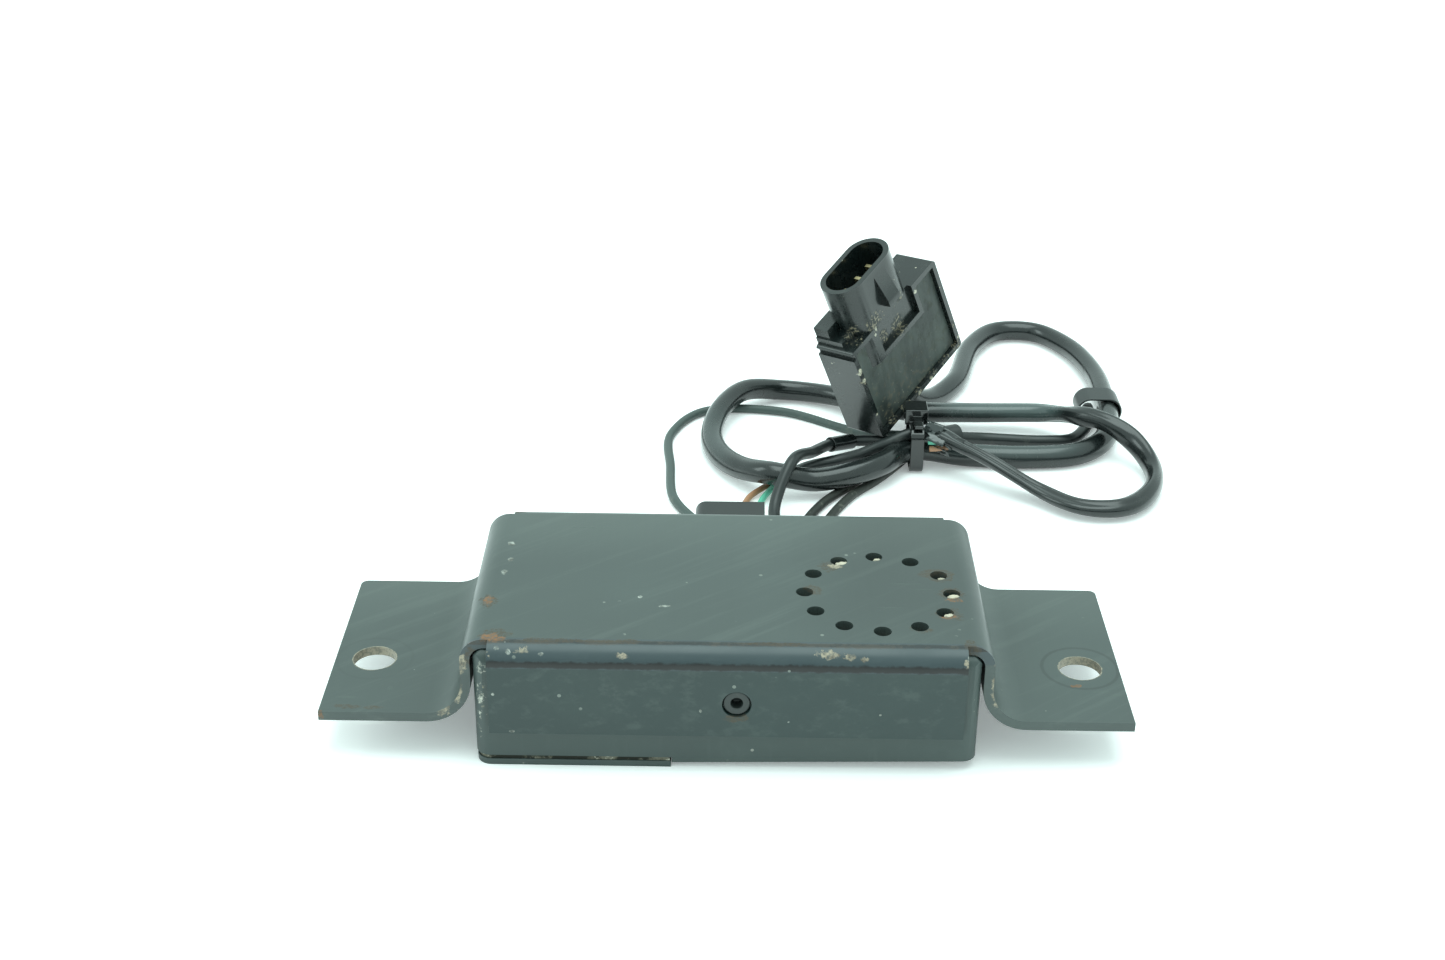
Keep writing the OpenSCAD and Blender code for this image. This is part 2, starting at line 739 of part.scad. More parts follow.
module header_shell() {
    color("#141617") {
        difference() {
            bar(header_x, plug_mid_z, header_w, header_h, header_front, header_back);
            bar(header_x, plug_mid_z, header_w - 2 * header_wall,
                header_h - 2 * header_wall, header_front + 1.6, header_back + 1);
            for (x = pin_xs, z = pin_zs) bar(x, z, pin_w, pin_w, header_front - 1,
                header_front + 3);
        }
        for (s = [-1, 1]) translate([header_x + s * (header_w / 2 - 1.5) - 1, header_front,
                board_top])
            cube([2, board_w / 2 - header_front, header_z - board_top + tiny]);
    }
}

module header_pins() {
    color("#c8a24a") for (x = pin_xs, k = [0, 1]) {
        z = pin_zs[k];
        y = header_front - 1.4 - 1.8 * k;
        bar(x, z, pin_w, pin_w, y, header_front + 8);
        translate([x - pin_w / 2, y, board_top]) cube([pin_w, pin_w, z - board_top]);
    }
}

module rear_plug() {
    color("#17191a") difference() {
        union() {
            bar(header_x, plug_mid_z, nose_w, nose_h, header_front + 2, plug_start + tiny);
            grip();
        }
        for (x = pin_xs, z = pin_zs) bar(x, z, pin_w + 0.4, pin_w + 0.4, header_front,
            header_front + 9);
        for (s = [-1, 1]) bar(header_x + s * 3.9, grip_top - 2.6, 3.6, 2.6, plug_end - 4,
            plug_end + 1);
    }
}

// The plug's outer half, with one top corner rounded off
module grip() {
    rotate([90, 0, 0]) translate([0, 0, -plug_end]) linear_extrude(plug_end - plug_start)
        translate([header_x, 0]) {
            translate([-grip_w / 2, grip_low]) square([grip_w, grip_top - grip_low - 2.4]);
            translate([-grip_w / 2 + 2.4, grip_low])
                square([grip_w - 2.4, grip_top - grip_low]);
            translate([-grip_w / 2 + 2.4, grip_top - 2.4]) circle(2.4, $fn = round_fn);
        }
}

// An upright stadium plate lying across Y
module stadium_plate(l, h, y0, y1) {
    translate([grommet_mid_x, y1, grommet_z]) rotate([90, 0, 0]) linear_extrude(y1 - y0)
        stadium(l, h);
}

module wire_grommet() {
    holes = [lead_d, wire_d, wire_d];
    lip = 2 * grommet_lip + 0.4;
    color("#0d0f10") difference() {
        union() {
            stadium_plate(grommet_l - lip, grommet_h - lip, grommet_in, grommet_out - 0.2);
            stadium_plate(grommet_l - 0.2, grommet_h - 0.2, box_half_d, grommet_out);
            stadium_plate(grommet_l - 0.2, grommet_h - 0.2, grommet_in, cavity_half_d);
        }
        for (k = [0 : 2]) translate([grommet_xs[k], grommet_out + 1, grommet_z])
            rotate([90, 0, 0]) cylinder(12, d = holes[k] + 0.1, $fn = round_fn);
    }
}

// The wires inside the box, from the grommet down to the board
module board_leads() {
    ends = [lead_d, wire_d, wire_d];
    y_down = board_w / 2 - 2.6;
    color("#6a3b1f") for (k = [0 : 2]) translate([grommet_xs[k], 0, 0]) {
        translate([0, grommet_out - 0.2, grommet_z]) rotate([90, 0, 0])
            cylinder(grommet_out - 0.2 - y_down, d = ends[k] - 0.6, $fn = round_fn);
        translate([0, y_down, board_top])
            cylinder(grommet_z - board_top, d = ends[k] - 0.6, $fn = round_fn);
        translate([0, y_down, grommet_z]) sphere(d = ends[k] - 0.6, $fn = 24);
    }
}

// The block's own axes: u along it, v along the socket, w out of its open face
module at_block() {
    translate(block_at) rotate(block_turn) children();
}

// A stadium column along v, on the socket's axis
module socket_column(l, w, v0, v1) {
    translate([socket_u, v0, -block_d / 2]) rotate([-90, 0, 0]) linear_extrude(v1 - v0)
        stadium(l, w);
}

module slab(u0, u1, v0, v1, w0, w1) {
    translate([u0, v0, w0]) cube([u1 - u0, v1 - v0, w1 - w0]);
}

// The space inside the block that the potting fills, from the back wall up to w1
module block_space(w1) {
    b = block_wall;
    difference() {
        slab(b, block_l - b, b, block_h - b, -block_d + b, w1);
        slab(notch_u - notch_w / 2 - b, notch_u + notch_w / 2 + b, notch_v - b, block_h,
            -block_d, 1);
        socket_column(socket_l + 2 * b, socket_w, notch_v - b, block_h);
    }
}

module block_shell() {
    b = block_wall;
    mouth_v = block_h + socket_h;
    color("#1c1f20") at_block() difference() {
        union() {
            difference() {
                translate([block_l / 2, block_h / 2, -block_d])
                    linear_extrude(block_d) round_rect(block_l, block_h, 1);
                block_space(1);
                slab(notch_u - notch_w / 2, notch_u + notch_w / 2, notch_v, block_h + 1,
                    -notch_deep, 1);
                slab(-1, groove_t, block_h - 2.6, block_h - 0.8, -block_d - 1, 1);
            }
            socket_column(socket_l, socket_w, block_h - tiny, mouth_v);
            slab(1.2, shoulder_u, block_h - tiny, block_h + 2, -block_d, -3.4);
            slab(1.6, 9, block_h, block_h + 5, -block_d, -7.4);
            latch();
        }
        socket_column(socket_l - 2 * b, socket_w - 2 * b, socket_floor, mouth_v + 1);
        for (k = [-1, 0, 1]) translate([socket_u + k * 5, 0, -block_d / 2])
            slab(-0.55, 0.55, socket_floor - 4, socket_floor + 1, -1.35, 1.35);
    }
}

// The ramp that a mating connector's latch rides over
module latch() {
    face = -block_d / 2 + socket_w / 2;
    translate([latch_u - latch_w / 2, 0, 0]) rotate([90, 0, 90]) linear_extrude(latch_w)
        polygon([[block_h + socket_h - 0.6, face - 0.4], [block_h + 3, face - 0.4],
            [block_h + 3.2, face + 2.2], [block_h + 5, face + 2.2]]);
}

module block_potting() {
    color("#3b3a33") at_block() block_space(-potting_drop);
}

module socket_pins() {
    color("#b9a468") at_block() for (k = [-1, 0, 1])
        translate([socket_u + k * 5, 0, -block_d / 2])
            slab(-0.5, 0.5, socket_floor - 3.8, socket_floor + 10, -1.3, 1.3);
}

module socket_seal() {
    b = block_wall;
    color("#5d6468") at_block() difference() {
        socket_column(socket_l - 2 * b, socket_w - 2 * b, socket_floor, socket_floor + 1.6);
        socket_column(socket_l - 2 * b - 3, socket_w - 2 * b - 3, socket_floor - 1,
            socket_floor + 3);
    }
}

module cable_boot() {
    color("#101213") at_block() translate([exit_u, 0, -exit_w]) rotate([90, 0, 0])
        difference() {
            union() {
                cylinder(1.2, d = main_d + 3, $fn = round_fn);
                cylinder(3, d = main_d + 1.6, $fn = round_fn);
            }
            translate([0, 0, -1]) cylinder(5, d = main_d + 0.3, $fn = round_fn);
        }
}

module main_cable() {
    color("#16191a") tube(main_route, main_d, 10);
}

module signal_lead() {
    color("#1b1d1e") tube(signal_route, signal_d, 8);
}

module sounder_lead() {
    color("#1b1d1e") tube(lead_route, lead_d, 8);
}

// A sleeve shrunk over the sounder lead
module shrink_boot() {
    gap = shrink_to - shrink_at;
    color("#121415") translate(shrink_at)
        rotate([0, acos(gap[2] / norm(gap)), atan2(gap[1], gap[0])])
            pipe(lead_d + 1, lead_d + 0.1, 0, norm(gap));
}

module grey_wire() {
    color("#59605f") tube(grey_route, wire_d, 8);
}

module supply_wire() {
    color("#2a2724") tube(supply_route, wire_d, 8);
}

module ground_wire() {
    color("#2a2724") tube(ground_route, wire_d, 8);
}

module orange_core() {
    color("#b0703a") tube(orange_route, core_d, 8);
}

module green_core() {
    color("#3f9a78") tube(green_route, core_d, 8);
}

module branch_lead() {
    color("#2b3030") tube(branch_route, signal_d, 8);
}

module splice_wrap() {
    gap = splice_to - splice_from;
    color("#111314") translate(splice_from)
        rotate([0, acos(gap[2] / norm(gap)), atan2(gap[1], gap[0])])
            cylinder(norm(gap), d = splice_d, $fn = round_fn);
}

// A cable tie: the strap's loop round the bundle, its ratchet head and its cut tail
module cable_tie() {
    size = tie_high - tie_low;
    mid = (tie_high + tie_low) / 2;
    color("#0c0d0e") {
        translate([tie_x - tie_w / 2, mid[0], mid[1]]) rotate([90, 0, 90])
            linear_extrude(tie_w) difference() {
                round_rect(size[0], size[1], 2.6);
                round_rect(size[0] - 2 * tie_t, size[1] - 2 * tie_t, 2);
            }
        translate([tie_x - tie_head[0] / 2, mid[0] - 1.6, tie_high[1] - tie_t])
            cube(tie_head);
        translate([tie_x - 1, mid[0] - 1.6 - 6, tie_high[1] + 0.6]) cube([2.4, 6.2, 1]);
    }
}

// A band of tape that holds the branch lead's end against the main cable
module tape_band() {
    spread = 4.8;
    h = main_d + 2 * (band_t + 0.3);
    inner = h - 2 * band_t;
    color("#0f1112") translate([band_at[0], band_at[1] + band_l / 2, h / 2]) rotate([90, 0, 0])
        linear_extrude(band_l) difference() {
            stadium(h + spread, h);
            stadium(inner + spread, inner);
        }
}

bracket();
bracket_rivets();
box_shell();
box_cover();
cover_seal();
cover_screws();
circuit_board();
board_screws();
controller_chips();
capacitors();
driver_transistor();
small_parts();
sounder_case();
sounder_disc();
vent_mesh();
sounder_gasket();
motion_base();
spring_clamp();
clamp_screw();
leaf_root();
leaf_spring();
pendulum_weight();
pickup_coil();
trimmer_body();
trimmer_rotor();
header_shell();
header_pins();
rear_plug();
wire_grommet();
board_leads();
block_shell();
block_potting();
socket_pins();
socket_seal();
cable_boot();
main_cable();
signal_lead();
sounder_lead();
shrink_boot();
grey_wire();
supply_wire();
ground_wire();
orange_core();
green_core();
branch_lead();
splice_wrap();
cable_tie();
tape_band();
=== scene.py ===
import math

import bmesh
import bpy
from mathutils import Matrix, Vector, noise


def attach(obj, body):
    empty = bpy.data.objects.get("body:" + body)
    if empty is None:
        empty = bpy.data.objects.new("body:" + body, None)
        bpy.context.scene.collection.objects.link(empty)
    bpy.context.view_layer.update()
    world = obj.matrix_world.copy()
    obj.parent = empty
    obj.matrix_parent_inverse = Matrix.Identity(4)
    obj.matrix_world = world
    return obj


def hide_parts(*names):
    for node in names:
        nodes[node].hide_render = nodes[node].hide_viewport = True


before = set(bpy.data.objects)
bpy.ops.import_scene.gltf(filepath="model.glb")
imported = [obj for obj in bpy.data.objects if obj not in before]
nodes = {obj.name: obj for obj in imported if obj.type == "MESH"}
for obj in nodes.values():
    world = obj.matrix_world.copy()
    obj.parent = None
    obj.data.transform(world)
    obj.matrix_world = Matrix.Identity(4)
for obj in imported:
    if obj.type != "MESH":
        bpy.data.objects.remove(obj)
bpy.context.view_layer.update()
mm = 0.001
print("frame loaded:", len(nodes), "parts")


camera = {
    "place": (-0.24, -360.74, 235.87),  # mm
    "down": 27.092, "turn": -0.198, "roll": 0.715,  # degrees
    "lens": 49.42,
}


def aimCamera(c):
    down, turn, roll = (math.radians(c[k]) for k in ("down", "turn", "roll"))
    ahead = Vector((math.sin(turn) * math.cos(down), math.cos(turn) * math.cos(down),
                    -math.sin(down)))
    level = Vector((math.cos(turn), -math.sin(turn), 0))
    over = level.cross(ahead)
    right = math.cos(roll) * level + math.sin(roll) * over
    up = math.cos(roll) * over - math.sin(roll) * level
    data = bpy.data.cameras.new("camera")
    data.lens = c["lens"]
    data.sensor_width = 36
    data.clip_start = 0.01
    data.clip_end = 30
    made = bpy.data.objects.new("camera", data)
    turned = Matrix((right, up, -ahead)).transposed().to_4x4()
    made.matrix_world = Matrix.Translation(Vector(c["place"]) * mm) @ turned
    bpy.context.scene.collection.objects.link(made)
    bpy.context.scene.camera = made


aimCamera(camera)

studio = {
    "room": (0.80, 1.0, 0.965), "roomPower": 1.22,
    "floorTone": (0.95, 0.95, 0.95), "floorGlow": 0.22,
    "lampTone": (0.84, 1.0, 0.97),
    # name, place, aim, size, power, all in metres and watts
    "lamps": [
        ("lampTop", (0.10, 0.05, 1.2), (0.03, 0.05, 0.0), (1.1, 0.85), 9.5),
        ("lampLeft", (-1.1, 0.0, 0.8), (0.0, 0.05, 0.0), (0.4, 0.7), 3.2),
    ],
    "cardFar": 1.5, "cardHigh": 0.42,
}


def lightStudio(s):
    world = bpy.data.worlds.new("room")
    world.use_nodes = True
    back = world.node_tree.nodes["Background"]
    back.inputs["Color"].default_value = (*s["room"], 1)
    back.inputs["Strength"].default_value = s["roomPower"]
    bpy.context.scene.world = world
    for name, place, aim, size, power in s["lamps"]:
        data = bpy.data.lights.new(name, "AREA")
        data.shape = "RECTANGLE"
        data.size, data.size_y = size
        data.energy = power
        data.color = s["lampTone"]
        lamp = bpy.data.objects.new(name, data)
        look = Vector(aim) - Vector(place)
        lamp.matrix_world = (Matrix.Translation(place)
                             @ look.to_track_quat("-Z", "Y").to_matrix().to_4x4())
        bpy.context.scene.collection.objects.link(lamp)
    bpy.context.scene.view_settings.view_transform = "Standard"


def hangCard(s):
    # the unlit end of the room, seen only in reflections
    bm = bmesh.new()
    bmesh.ops.create_grid(bm, x_segments=1, y_segments=1, size=1)
    bmesh.ops.scale(bm, vec=(2.2, s["cardHigh"] / 2, 1), verts=bm.verts)
    bmesh.ops.rotate(bm, cent=(0, 0, 0), verts=bm.verts,
                     matrix=Matrix.Rotation(math.radians(90), 3, "X"))
    bmesh.ops.translate(bm, vec=(0, -s["cardFar"], s["cardHigh"] / 2 + 0.03), verts=bm.verts)
    mesh = bpy.data.meshes.new("darkCard")
    bm.to_mesh(mesh)
    bm.free()
    card = bpy.data.objects.new("darkCard", mesh)
    paint = Paint("cardCloth", Roughness=1.0, Specular_IOR_Level=0.0)
    mesh.materials.append(paint.finish((0.01, 0.012, 0.014, 1)))
    for kind in ("camera", "diffuse", "shadow", "transmission", "volume_scatter"):
        setattr(card, "visible_" + kind, False)
    bpy.context.scene.collection.objects.link(card)


lightStudio(studio)


class Wire:
    # a shader socket that ordinary arithmetic works on
    def __init__(self, paint, socket):
        self.paint, self.socket = paint, socket

    def maths(self, operation, *values, clamp=False):
        settings = {"operation": operation, "use_clamp": clamp}
        return self.paint.node("ShaderNodeMath", settings, dict(enumerate(values)))

    def __add__(self, other):
        return self.maths("ADD", self, other)

    def __sub__(self, other):
        return self.maths("SUBTRACT", self, other)

    def __rsub__(self, other):
        return self.maths("SUBTRACT", other, self)

    def __mul__(self, other):
        return self.maths("MULTIPLY", self, other)

    def __gt__(self, other):
        return self.maths("GREATER_THAN", self, other)

    def __lt__(self, other):
        return self.maths("LESS_THAN", self, other)

    def __abs__(self):
        return self.maths("ABSOLUTE", self)

    __radd__ = __add__
    __rmul__ = __mul__

    def held(self):
        return self.maths("ADD", self, 0.0, clamp=True)

    def least(self, other):
        return self.maths("MINIMUM", self, other)

    def most(self, other):
        return self.maths("MAXIMUM", self, other)


class Paint:
    # one material, with short ways to its usual nodes
    def __init__(self, name, **fixed):
        self.material = bpy.data.materials.new(name)
        self.material.use_nodes = True
        self.tree = self.material.node_tree
        self.shader = self.tree.nodes["Principled BSDF"]
        for socket, value in fixed.items():
            key = socket.replace("_", " ")
            self.shader.inputs[key].default_value = value
        self.place = self.node("ShaderNodeTexCoord", out="Object")

    def node(self, kind, settings=None, sockets=None, out=0):
        made = self.tree.nodes.new(kind)
        for key, value in (settings or {}).items():
            setattr(made, key, value)
        for key, value in (sockets or {}).items():
            target = made.inputs[key]
            if isinstance(value, Wire):
                self.tree.links.new(value.socket, target)
            else:
                target.default_value = value
        return Wire(self, made.outputs[out])

    def noise(self, scale, detail=3, rough=0.55, place=None):
        return self.node("ShaderNodeTexNoise", None, {
            "Vector": place or self.place, "Scale": scale, "Detail": detail,
            "Roughness": rough})

    def cells(self, scale):
        return self.node("ShaderNodeTexVoronoi", {"feature": "F1"}, {
            "Vector": self.place, "Scale": scale}, "Distance")

    def step(self, value, low, high):
        return self.node("ShaderNodeMapRange", {"interpolation_type": "SMOOTHSTEP"}, {
            "Value": value, "From Min": low, "From Max": high, "To Min": 0.0, "To Max": 1.0})

    def mix(self, share, first, second):
        # two colours or colour wires
        def tone(value):
            return value if isinstance(value, Wire) else (*value, 1)
        return self.node("ShaderNodeMix", {"data_type": "RGBA"}, {
            0: share, 6: tone(first), 7: tone(second)}, out=2)

    def mottled(self, share, base, low, high):
        # a colour that drifts between low and high times itself
        return self.mix(share, tuple(v * low for v in base), tuple(v * high for v in base))

    def stretched(self, scale, turn=(0, 0, 0)):
        turned = self.node("ShaderNodeMapping", None, {
            "Vector": self.place, "Rotation": tuple(math.radians(a) for a in turn)})
        return self.node("ShaderNodeMapping", None, {"Vector": turned, "Scale": scale})

    def axis(self, letter):
        return self.node("ShaderNodeSeparateXYZ", None, {0: self.place}, "XYZ".index(letter))

    def spot(self, at, size, ragged, tear, edge=0.16):
        # a patch round a point, in mm, whose outline a noise wire tears
        apart = self.node("ShaderNodeVectorMath", {"operation": "SUBTRACT"}, {
            0: self.place, 1: tuple(v * mm for v in at)})
        scaled = self.node("ShaderNodeVectorMath", {"operation": "MULTIPLY"}, {
            0: apart, 1: tuple(1 / (v * mm) for v in size)})
        far = self.node("ShaderNodeVectorMath", {"operation": "LENGTH"}, {0: scaled}, "Value")
        return 1 - self.step(far + (ragged - 0.5) * tear, 1 - edge, 1 + edge)

    def patches(self, spots, ragged, tear):
        area = None
        for at, size in spots:
            one = self.spot(at, size, ragged, tear)
            area = one if area is None else area.most(one)
        return area

    def ridge(self, letter, at, wide, ragged, tear):
        # 1 on a plane across one axis, fading to 0 wide mm away; at may be torn
        off = abs(self.axis(letter) * 1000 - at + (ragged - 0.5) * tear)
        return 1 - self.step(off, wide * 0.4, wide)

    def finish(self, base, rough=None, height=None, strength=0.3, depth=0.1):
        # depth is the bump's full height in mm
        links = {"Base Color": base, "Roughness": rough}
        if height is not None:
            links["Normal"] = self.node("ShaderNodeBump", None, {
                "Strength": strength, "Distance": depth * mm, "Height": height})
        for key, value in links.items():
            if isinstance(value, Wire):
                self.tree.links.new(value.socket, self.shader.inputs[key])
            elif value is not None:
                self.shader.inputs[key].default_value = value
        return self.material


def plainPaint(name, base, rough, grain, depth, scale, wear, **fixed):
    # a moulded or drawn surface: slight mottling, fine grain and a little dust
    paint = Paint(name, **fixed)
    cloud = paint.noise(scale * 0.12, 4)
    fine = paint.noise(scale, 2)
    dustAndLight = paint.step(paint.noise(scale * 0.3, 5, 0.7), 0.58, 0.75)
    tone = paint.mix(cloud * grain, base, tuple(min(1, c * 1.8 + 0.01) for c in base))
    tone = paint.mix(dustAndLight * wear, tone, (0.2, 0.2, 0.17))
    return paint.finish(tone, (cloud - 0.5) * 0.25 + rough + dustAndLight * 0.1, fine, 0.25, depth)


def layFloor(s):
    bm = bmesh.new()
    bmesh.ops.create_grid(bm, x_segments=1, y_segments=1, size=4)
    mesh = bpy.data.meshes.new("floor")
    bm.to_mesh(mesh)
    bm.free()
    floor = bpy.data.objects.new("floor", mesh)
    paint = Paint("floorPaper", Roughness=0.85, Emission_Color=(0.95, 1, 1, 1),
                  Emission_Strength=s["floorGlow"])
    mesh.materials.append(paint.finish((*s["floorTone"], 1)))
    bpy.context.scene.collection.objects.link(floor)


layFloor(studio)
hangCard(studio)
print("camera, light and floor made")


mainRoute = [
    (46.7, 135.4, 14.2), (48.8, 137.2, 8.5), (55.3, 144.4, 3.8), (64, 158, 3.1),
    (71.5, 184, 3.1), (80, 195.5, 3.1), (91.5, 195.5, 3.1), (100, 184.5, 3.1),
    (104.6, 166, 3.4), (104.8, 148, 3.8), (104, 135, 3.8), (100.5, 120.5, 3.4),
    (92, 112.5, 3.1), (78, 110, 3.1), (62, 111, 3.1), (50.5, 110.6, 4.8),
    (44.5, 106.5, 5.6), (39.5, 99, 6.2), (32, 94, 5.8), (21.5, 91.5, 4.9),
    (11, 91, 6.9), (3, 98.5, 4.6), (-3, 110, 3.1), (-5, 122, 3.2),
    (-2.5, 133.5, 5.2), (4, 144.5, 5.7), (14, 150.5, 3.3), (26, 148, 3.3),
    (38, 139.5, 4.6), (48.5, 131.6, 6), (66, 132.8, 5.2), (84.5, 131.5, 6),
    (93.5, 124, 8.8), (100.5, 118, 9.7), (107, 112.5, 6.9), (110.5, 103.5, 3.6),
    (108, 91.5, 3.1), (99.5, 82.5, 3.1), (89, 82.5, 3.1), (79.5, 90.5, 3.4),
    (67, 98.3, 7.8), (55.5, 108, 9.7)]
signalRoute = [
    (54.9, 108.6, 9.7), (48, 110, 9.6), (41, 107.8, 7.6), (34.5, 108.5, 4),
    (28, 108.5, 2), (20, 104.8, 1.7), (10.5, 94, 1.7)]
leadRoute = [
    (15, 30.3, 15), (14.6, 48, 10), (12.2, 69, 1.9), (11.4, 79.5, 3.4),
    (16, 90.5, 10.9), (21.5, 101, 8.2), (26.5, 112, 5), (33, 118, 3.3),
    (47, 115.7, 4.9), (54.5, 117, 5.2)]
greyRoute = [
    (-4, 43.4, 18.4), (-4.8, 58, 10), (-7, 72.5, 1.8), (-14, 87, 1.2),
    (-15.6, 106, 1.2), (-16, 125, 1.2), (-7, 140, 1.2), (14, 140.5, 1.2),
    (34, 128.5, 1.2), (47, 119.3, 4.6), (54.5, 119.8, 4.4)]
supplyRoute = [
    (24, 30.3, 15), (23.7, 52, 7), (23.2, 72, 1.3), (31, 89.5, 1.3),
    (38.7, 99.6, 1.3), (45.6, 110.2, 1.4), (48.5, 114.6, 2.3), (54.5, 116.3, 2.4)]
groundRoute = [
    (19.5, 30.3, 15), (19.2, 52, 7), (18, 72, 1.3), (24, 86, 1.3),
    (32.8, 97.8, 1.3), (38.4, 108.2, 1.3), (48, 117.2, 2.3), (54.5, 118.9, 2.3)]
orangeRoute = [
    (5.2, 43.4, 19.4), (4.2, 60, 9), (2.8, 77, 1.1), (5, 88.5, 1.1), (10, 94.8, 1.7)]
greenRoute = [
    (7, 43.4, 19.4), (7, 60, 9), (6.6, 77, 1.1), (8.4, 87.5, 1.1), (11.4, 93.9, 1.7)]
branchRoute = [
    (60.8, 121, 3.2), (68, 123.6, 1.9), (85, 122.8, 1.7), (93, 124.6, 1.7),
    (99.2, 135.5, 2.7), (99.5, 142, 3)]


def smoothLine(route, gap):
    # a smooth curve through every route point, resampled gap mm apart, and its length
    pts = [Vector(p) for p in route]
    pts = [pts[0] * 2 - pts[1]] + pts + [pts[-1] * 2 - pts[-2]]
    fine = []
    for a, b, c, d in zip(pts, pts[1:], pts[2:], pts[3:]):
        knots = [0.0]
        for p, q in ((a, b), (b, c), (c, d)):
            knots.append(knots[-1] + max((q - p).length, 1e-6) ** 0.5)
        for k in range(24):
            t = knots[1] + (knots[2] - knots[1]) * k / 24
            low = [p.lerp(q, (t - u) / (v - u)) for p, q, u, v in
                   ((a, b, knots[0], knots[1]), (b, c, knots[1], knots[2]),
                    (c, d, knots[2], knots[3]))]
            mid = [low[0].lerp(low[1], (t - knots[0]) / (knots[2] - knots[0])),
                   low[1].lerp(low[2], (t - knots[1]) / (knots[3] - knots[1]))]
            fine.append(mid[0].lerp(mid[1], (t - knots[1]) / (knots[2] - knots[1])))
    fine.append(pts[-2])
    run = [0.0]
    for p, q in zip(fine, fine[1:]):
        run.append(run[-1] + (q - p).length)
    count = max(8, round(run[-1] / gap))
    line, i = [], 0
    for k in range(count + 1):
        want = run[-1] * k / count
        while i < len(run) - 2 and run[i + 1] < want:
            i += 1
        share = (want - run[i]) / max(run[i + 1] - run[i], 1e-9)
        line.append(fine[i].lerp(fine[i + 1], min(1, share)))
    return line, run[-1]


def between(table, at):
    # linear reading of a table of (place, values...)
    for low, high in zip(table, table[1:]):
        if at <= high[0]:
            share = (at - low[0]) / max(high[0] - low[0], 1e-9)
            share = share * share * (3 - 2 * share)
            return [u + (v - u) * share for u, v in zip(low[1:], high[1:])]
    return list(table[-1][1:])


def addPiece(name, mesh, material, stands=()):
    made = bpy.data.objects.new(name, mesh)
    bpy.context.scene.collection.objects.link(made)
    mesh.materials.append(material)
    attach(made, "sensor")
    if stands:
        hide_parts(*stands)
    return made


def sweep(line, sides, outline):
    # a tube along a line, from a grid rolled up; outline(share, angle) gives a point's
    # (side, up) in mm. The grid's own UV map runs round and along it.
    bm = bmesh.new()
    bm.loops.layers.uv.new("UVMap")
    bmesh.ops.create_grid(bm, x_segments=sides, y_segments=len(line) - 1, size=1,
                          calc_uvs=True)
    bm.verts.ensure_lookup_table()
    last = len(line) - 1
    for i, centre in enumerate(line):
        ahead = (line[min(i + 1, last)] - line[max(i - 1, 0)]).normalized()
        side = ahead.cross(Vector((0, 0, 1))).normalized()
        up = side.cross(ahead)
        for k in range(sides + 1):
            s, u = outline(i / last, 2 * math.pi * (k % sides) / sides)
            bm.verts[i * (sides + 1) + k].co = (centre + side * s + up * u) * mm
    bmesh.ops.remove_doubles(bm, verts=bm.verts, dist=1e-6)
    rims = [e for e in bm.edges if e.is_boundary]
    bmesh.ops.holes_fill(bm, edges=rims, sides=sides)
    bmesh.ops.recalc_face_normals(bm, faces=bm.faces)
    return bm


def toMesh(bm, name, sharp=None):
    mesh = bpy.data.meshes.new(name)
    bm.to_mesh(mesh)
    bm.free()
    for face in mesh.polygons:
        face.use_smooth = True
    if sharp:
        mesh.set_sharp_from_angle(angle=math.radians(sharp))
    return mesh


def jacketPaint(name, base, rough, dust, wrinkle, coat=0.0, pale=()):
    # drawn insulation: mottled, dusty, with painted highlights laid in as pale stretches
    # where pale says
    paint = Paint(name, Coat_Weight=coat, Coat_Roughness=0.12)
    cloud = paint.noise(90, 4)
    fine = paint.noise(1400, 3, 0.6)
    dustAndLight = paint.step(paint.noise(260, 5, 0.75), 0.54, 0.72)
    specks = paint.step(paint.noise(1900, 2, 0.5), 0.68, 0.74) * dustAndLight
    tone = paint.mix(cloud * 0.5, base, tuple(c * 1.7 + 0.006 for c in base))
    tone = paint.mix(dustAndLight * dust, tone, (0.22, 0.22, 0.18))
    tone = paint.mix(specks * dust * 2, tone, (0.5, 0.48, 0.42))
    # painted highlight: each spot mixes a pale grey green into the colour
    for at, size, share in pale:
        tone = paint.mix(paint.spot(at, size, cloud, 0.8, 0.5) * share, tone,
                         (0.14, 0.19, 0.185))
    return paint.finish(tone, (cloud - 0.5) * 0.2 + rough + dustAndLight * 0.18, fine, 0.4,
                        wrinkle)


# place, half sizes in mm, share. This isn't wear: it paints in a highlight that the lights
# don't give, so it shows from every side. An empty list leaves the sleeve plain.
paintedHighlights = [((80, 130.5, 8.6), (21, 5, 3.4), 0.42),
                     ((75, 109.5, 6.2), (20, 4, 2.6), 0.20),
                     ((-4, 118, 6.2), (5, 20, 2.6), 0.12)]
sleevePaint = jacketPaint("sleevePaint", (0.005, 0.0075, 0.0075), 0.24, 0.03, 0.01, 0.2,
                          paintedHighlights)
leadPaint = jacketPaint("leadPaint", (0.007, 0.010, 0.010), 0.36, 0.10, 0.02)
greyPaint = jacketPaint("greyWirePaint", (0.040, 0.058, 0.053), 0.5, 0.25, 0.03)
dustyPaint = jacketPaint("dustyWirePaint", (0.014, 0.016, 0.013), 0.55, 0.6, 0.06)
orangePaint = jacketPaint("orangeWirePaint", (0.30, 0.155, 0.085), 0.42, 0.35, 0.02)
greenPaint = jacketPaint("greenWirePaint", (0.10, 0.40, 0.28), 0.38, 0.25, 0.02)

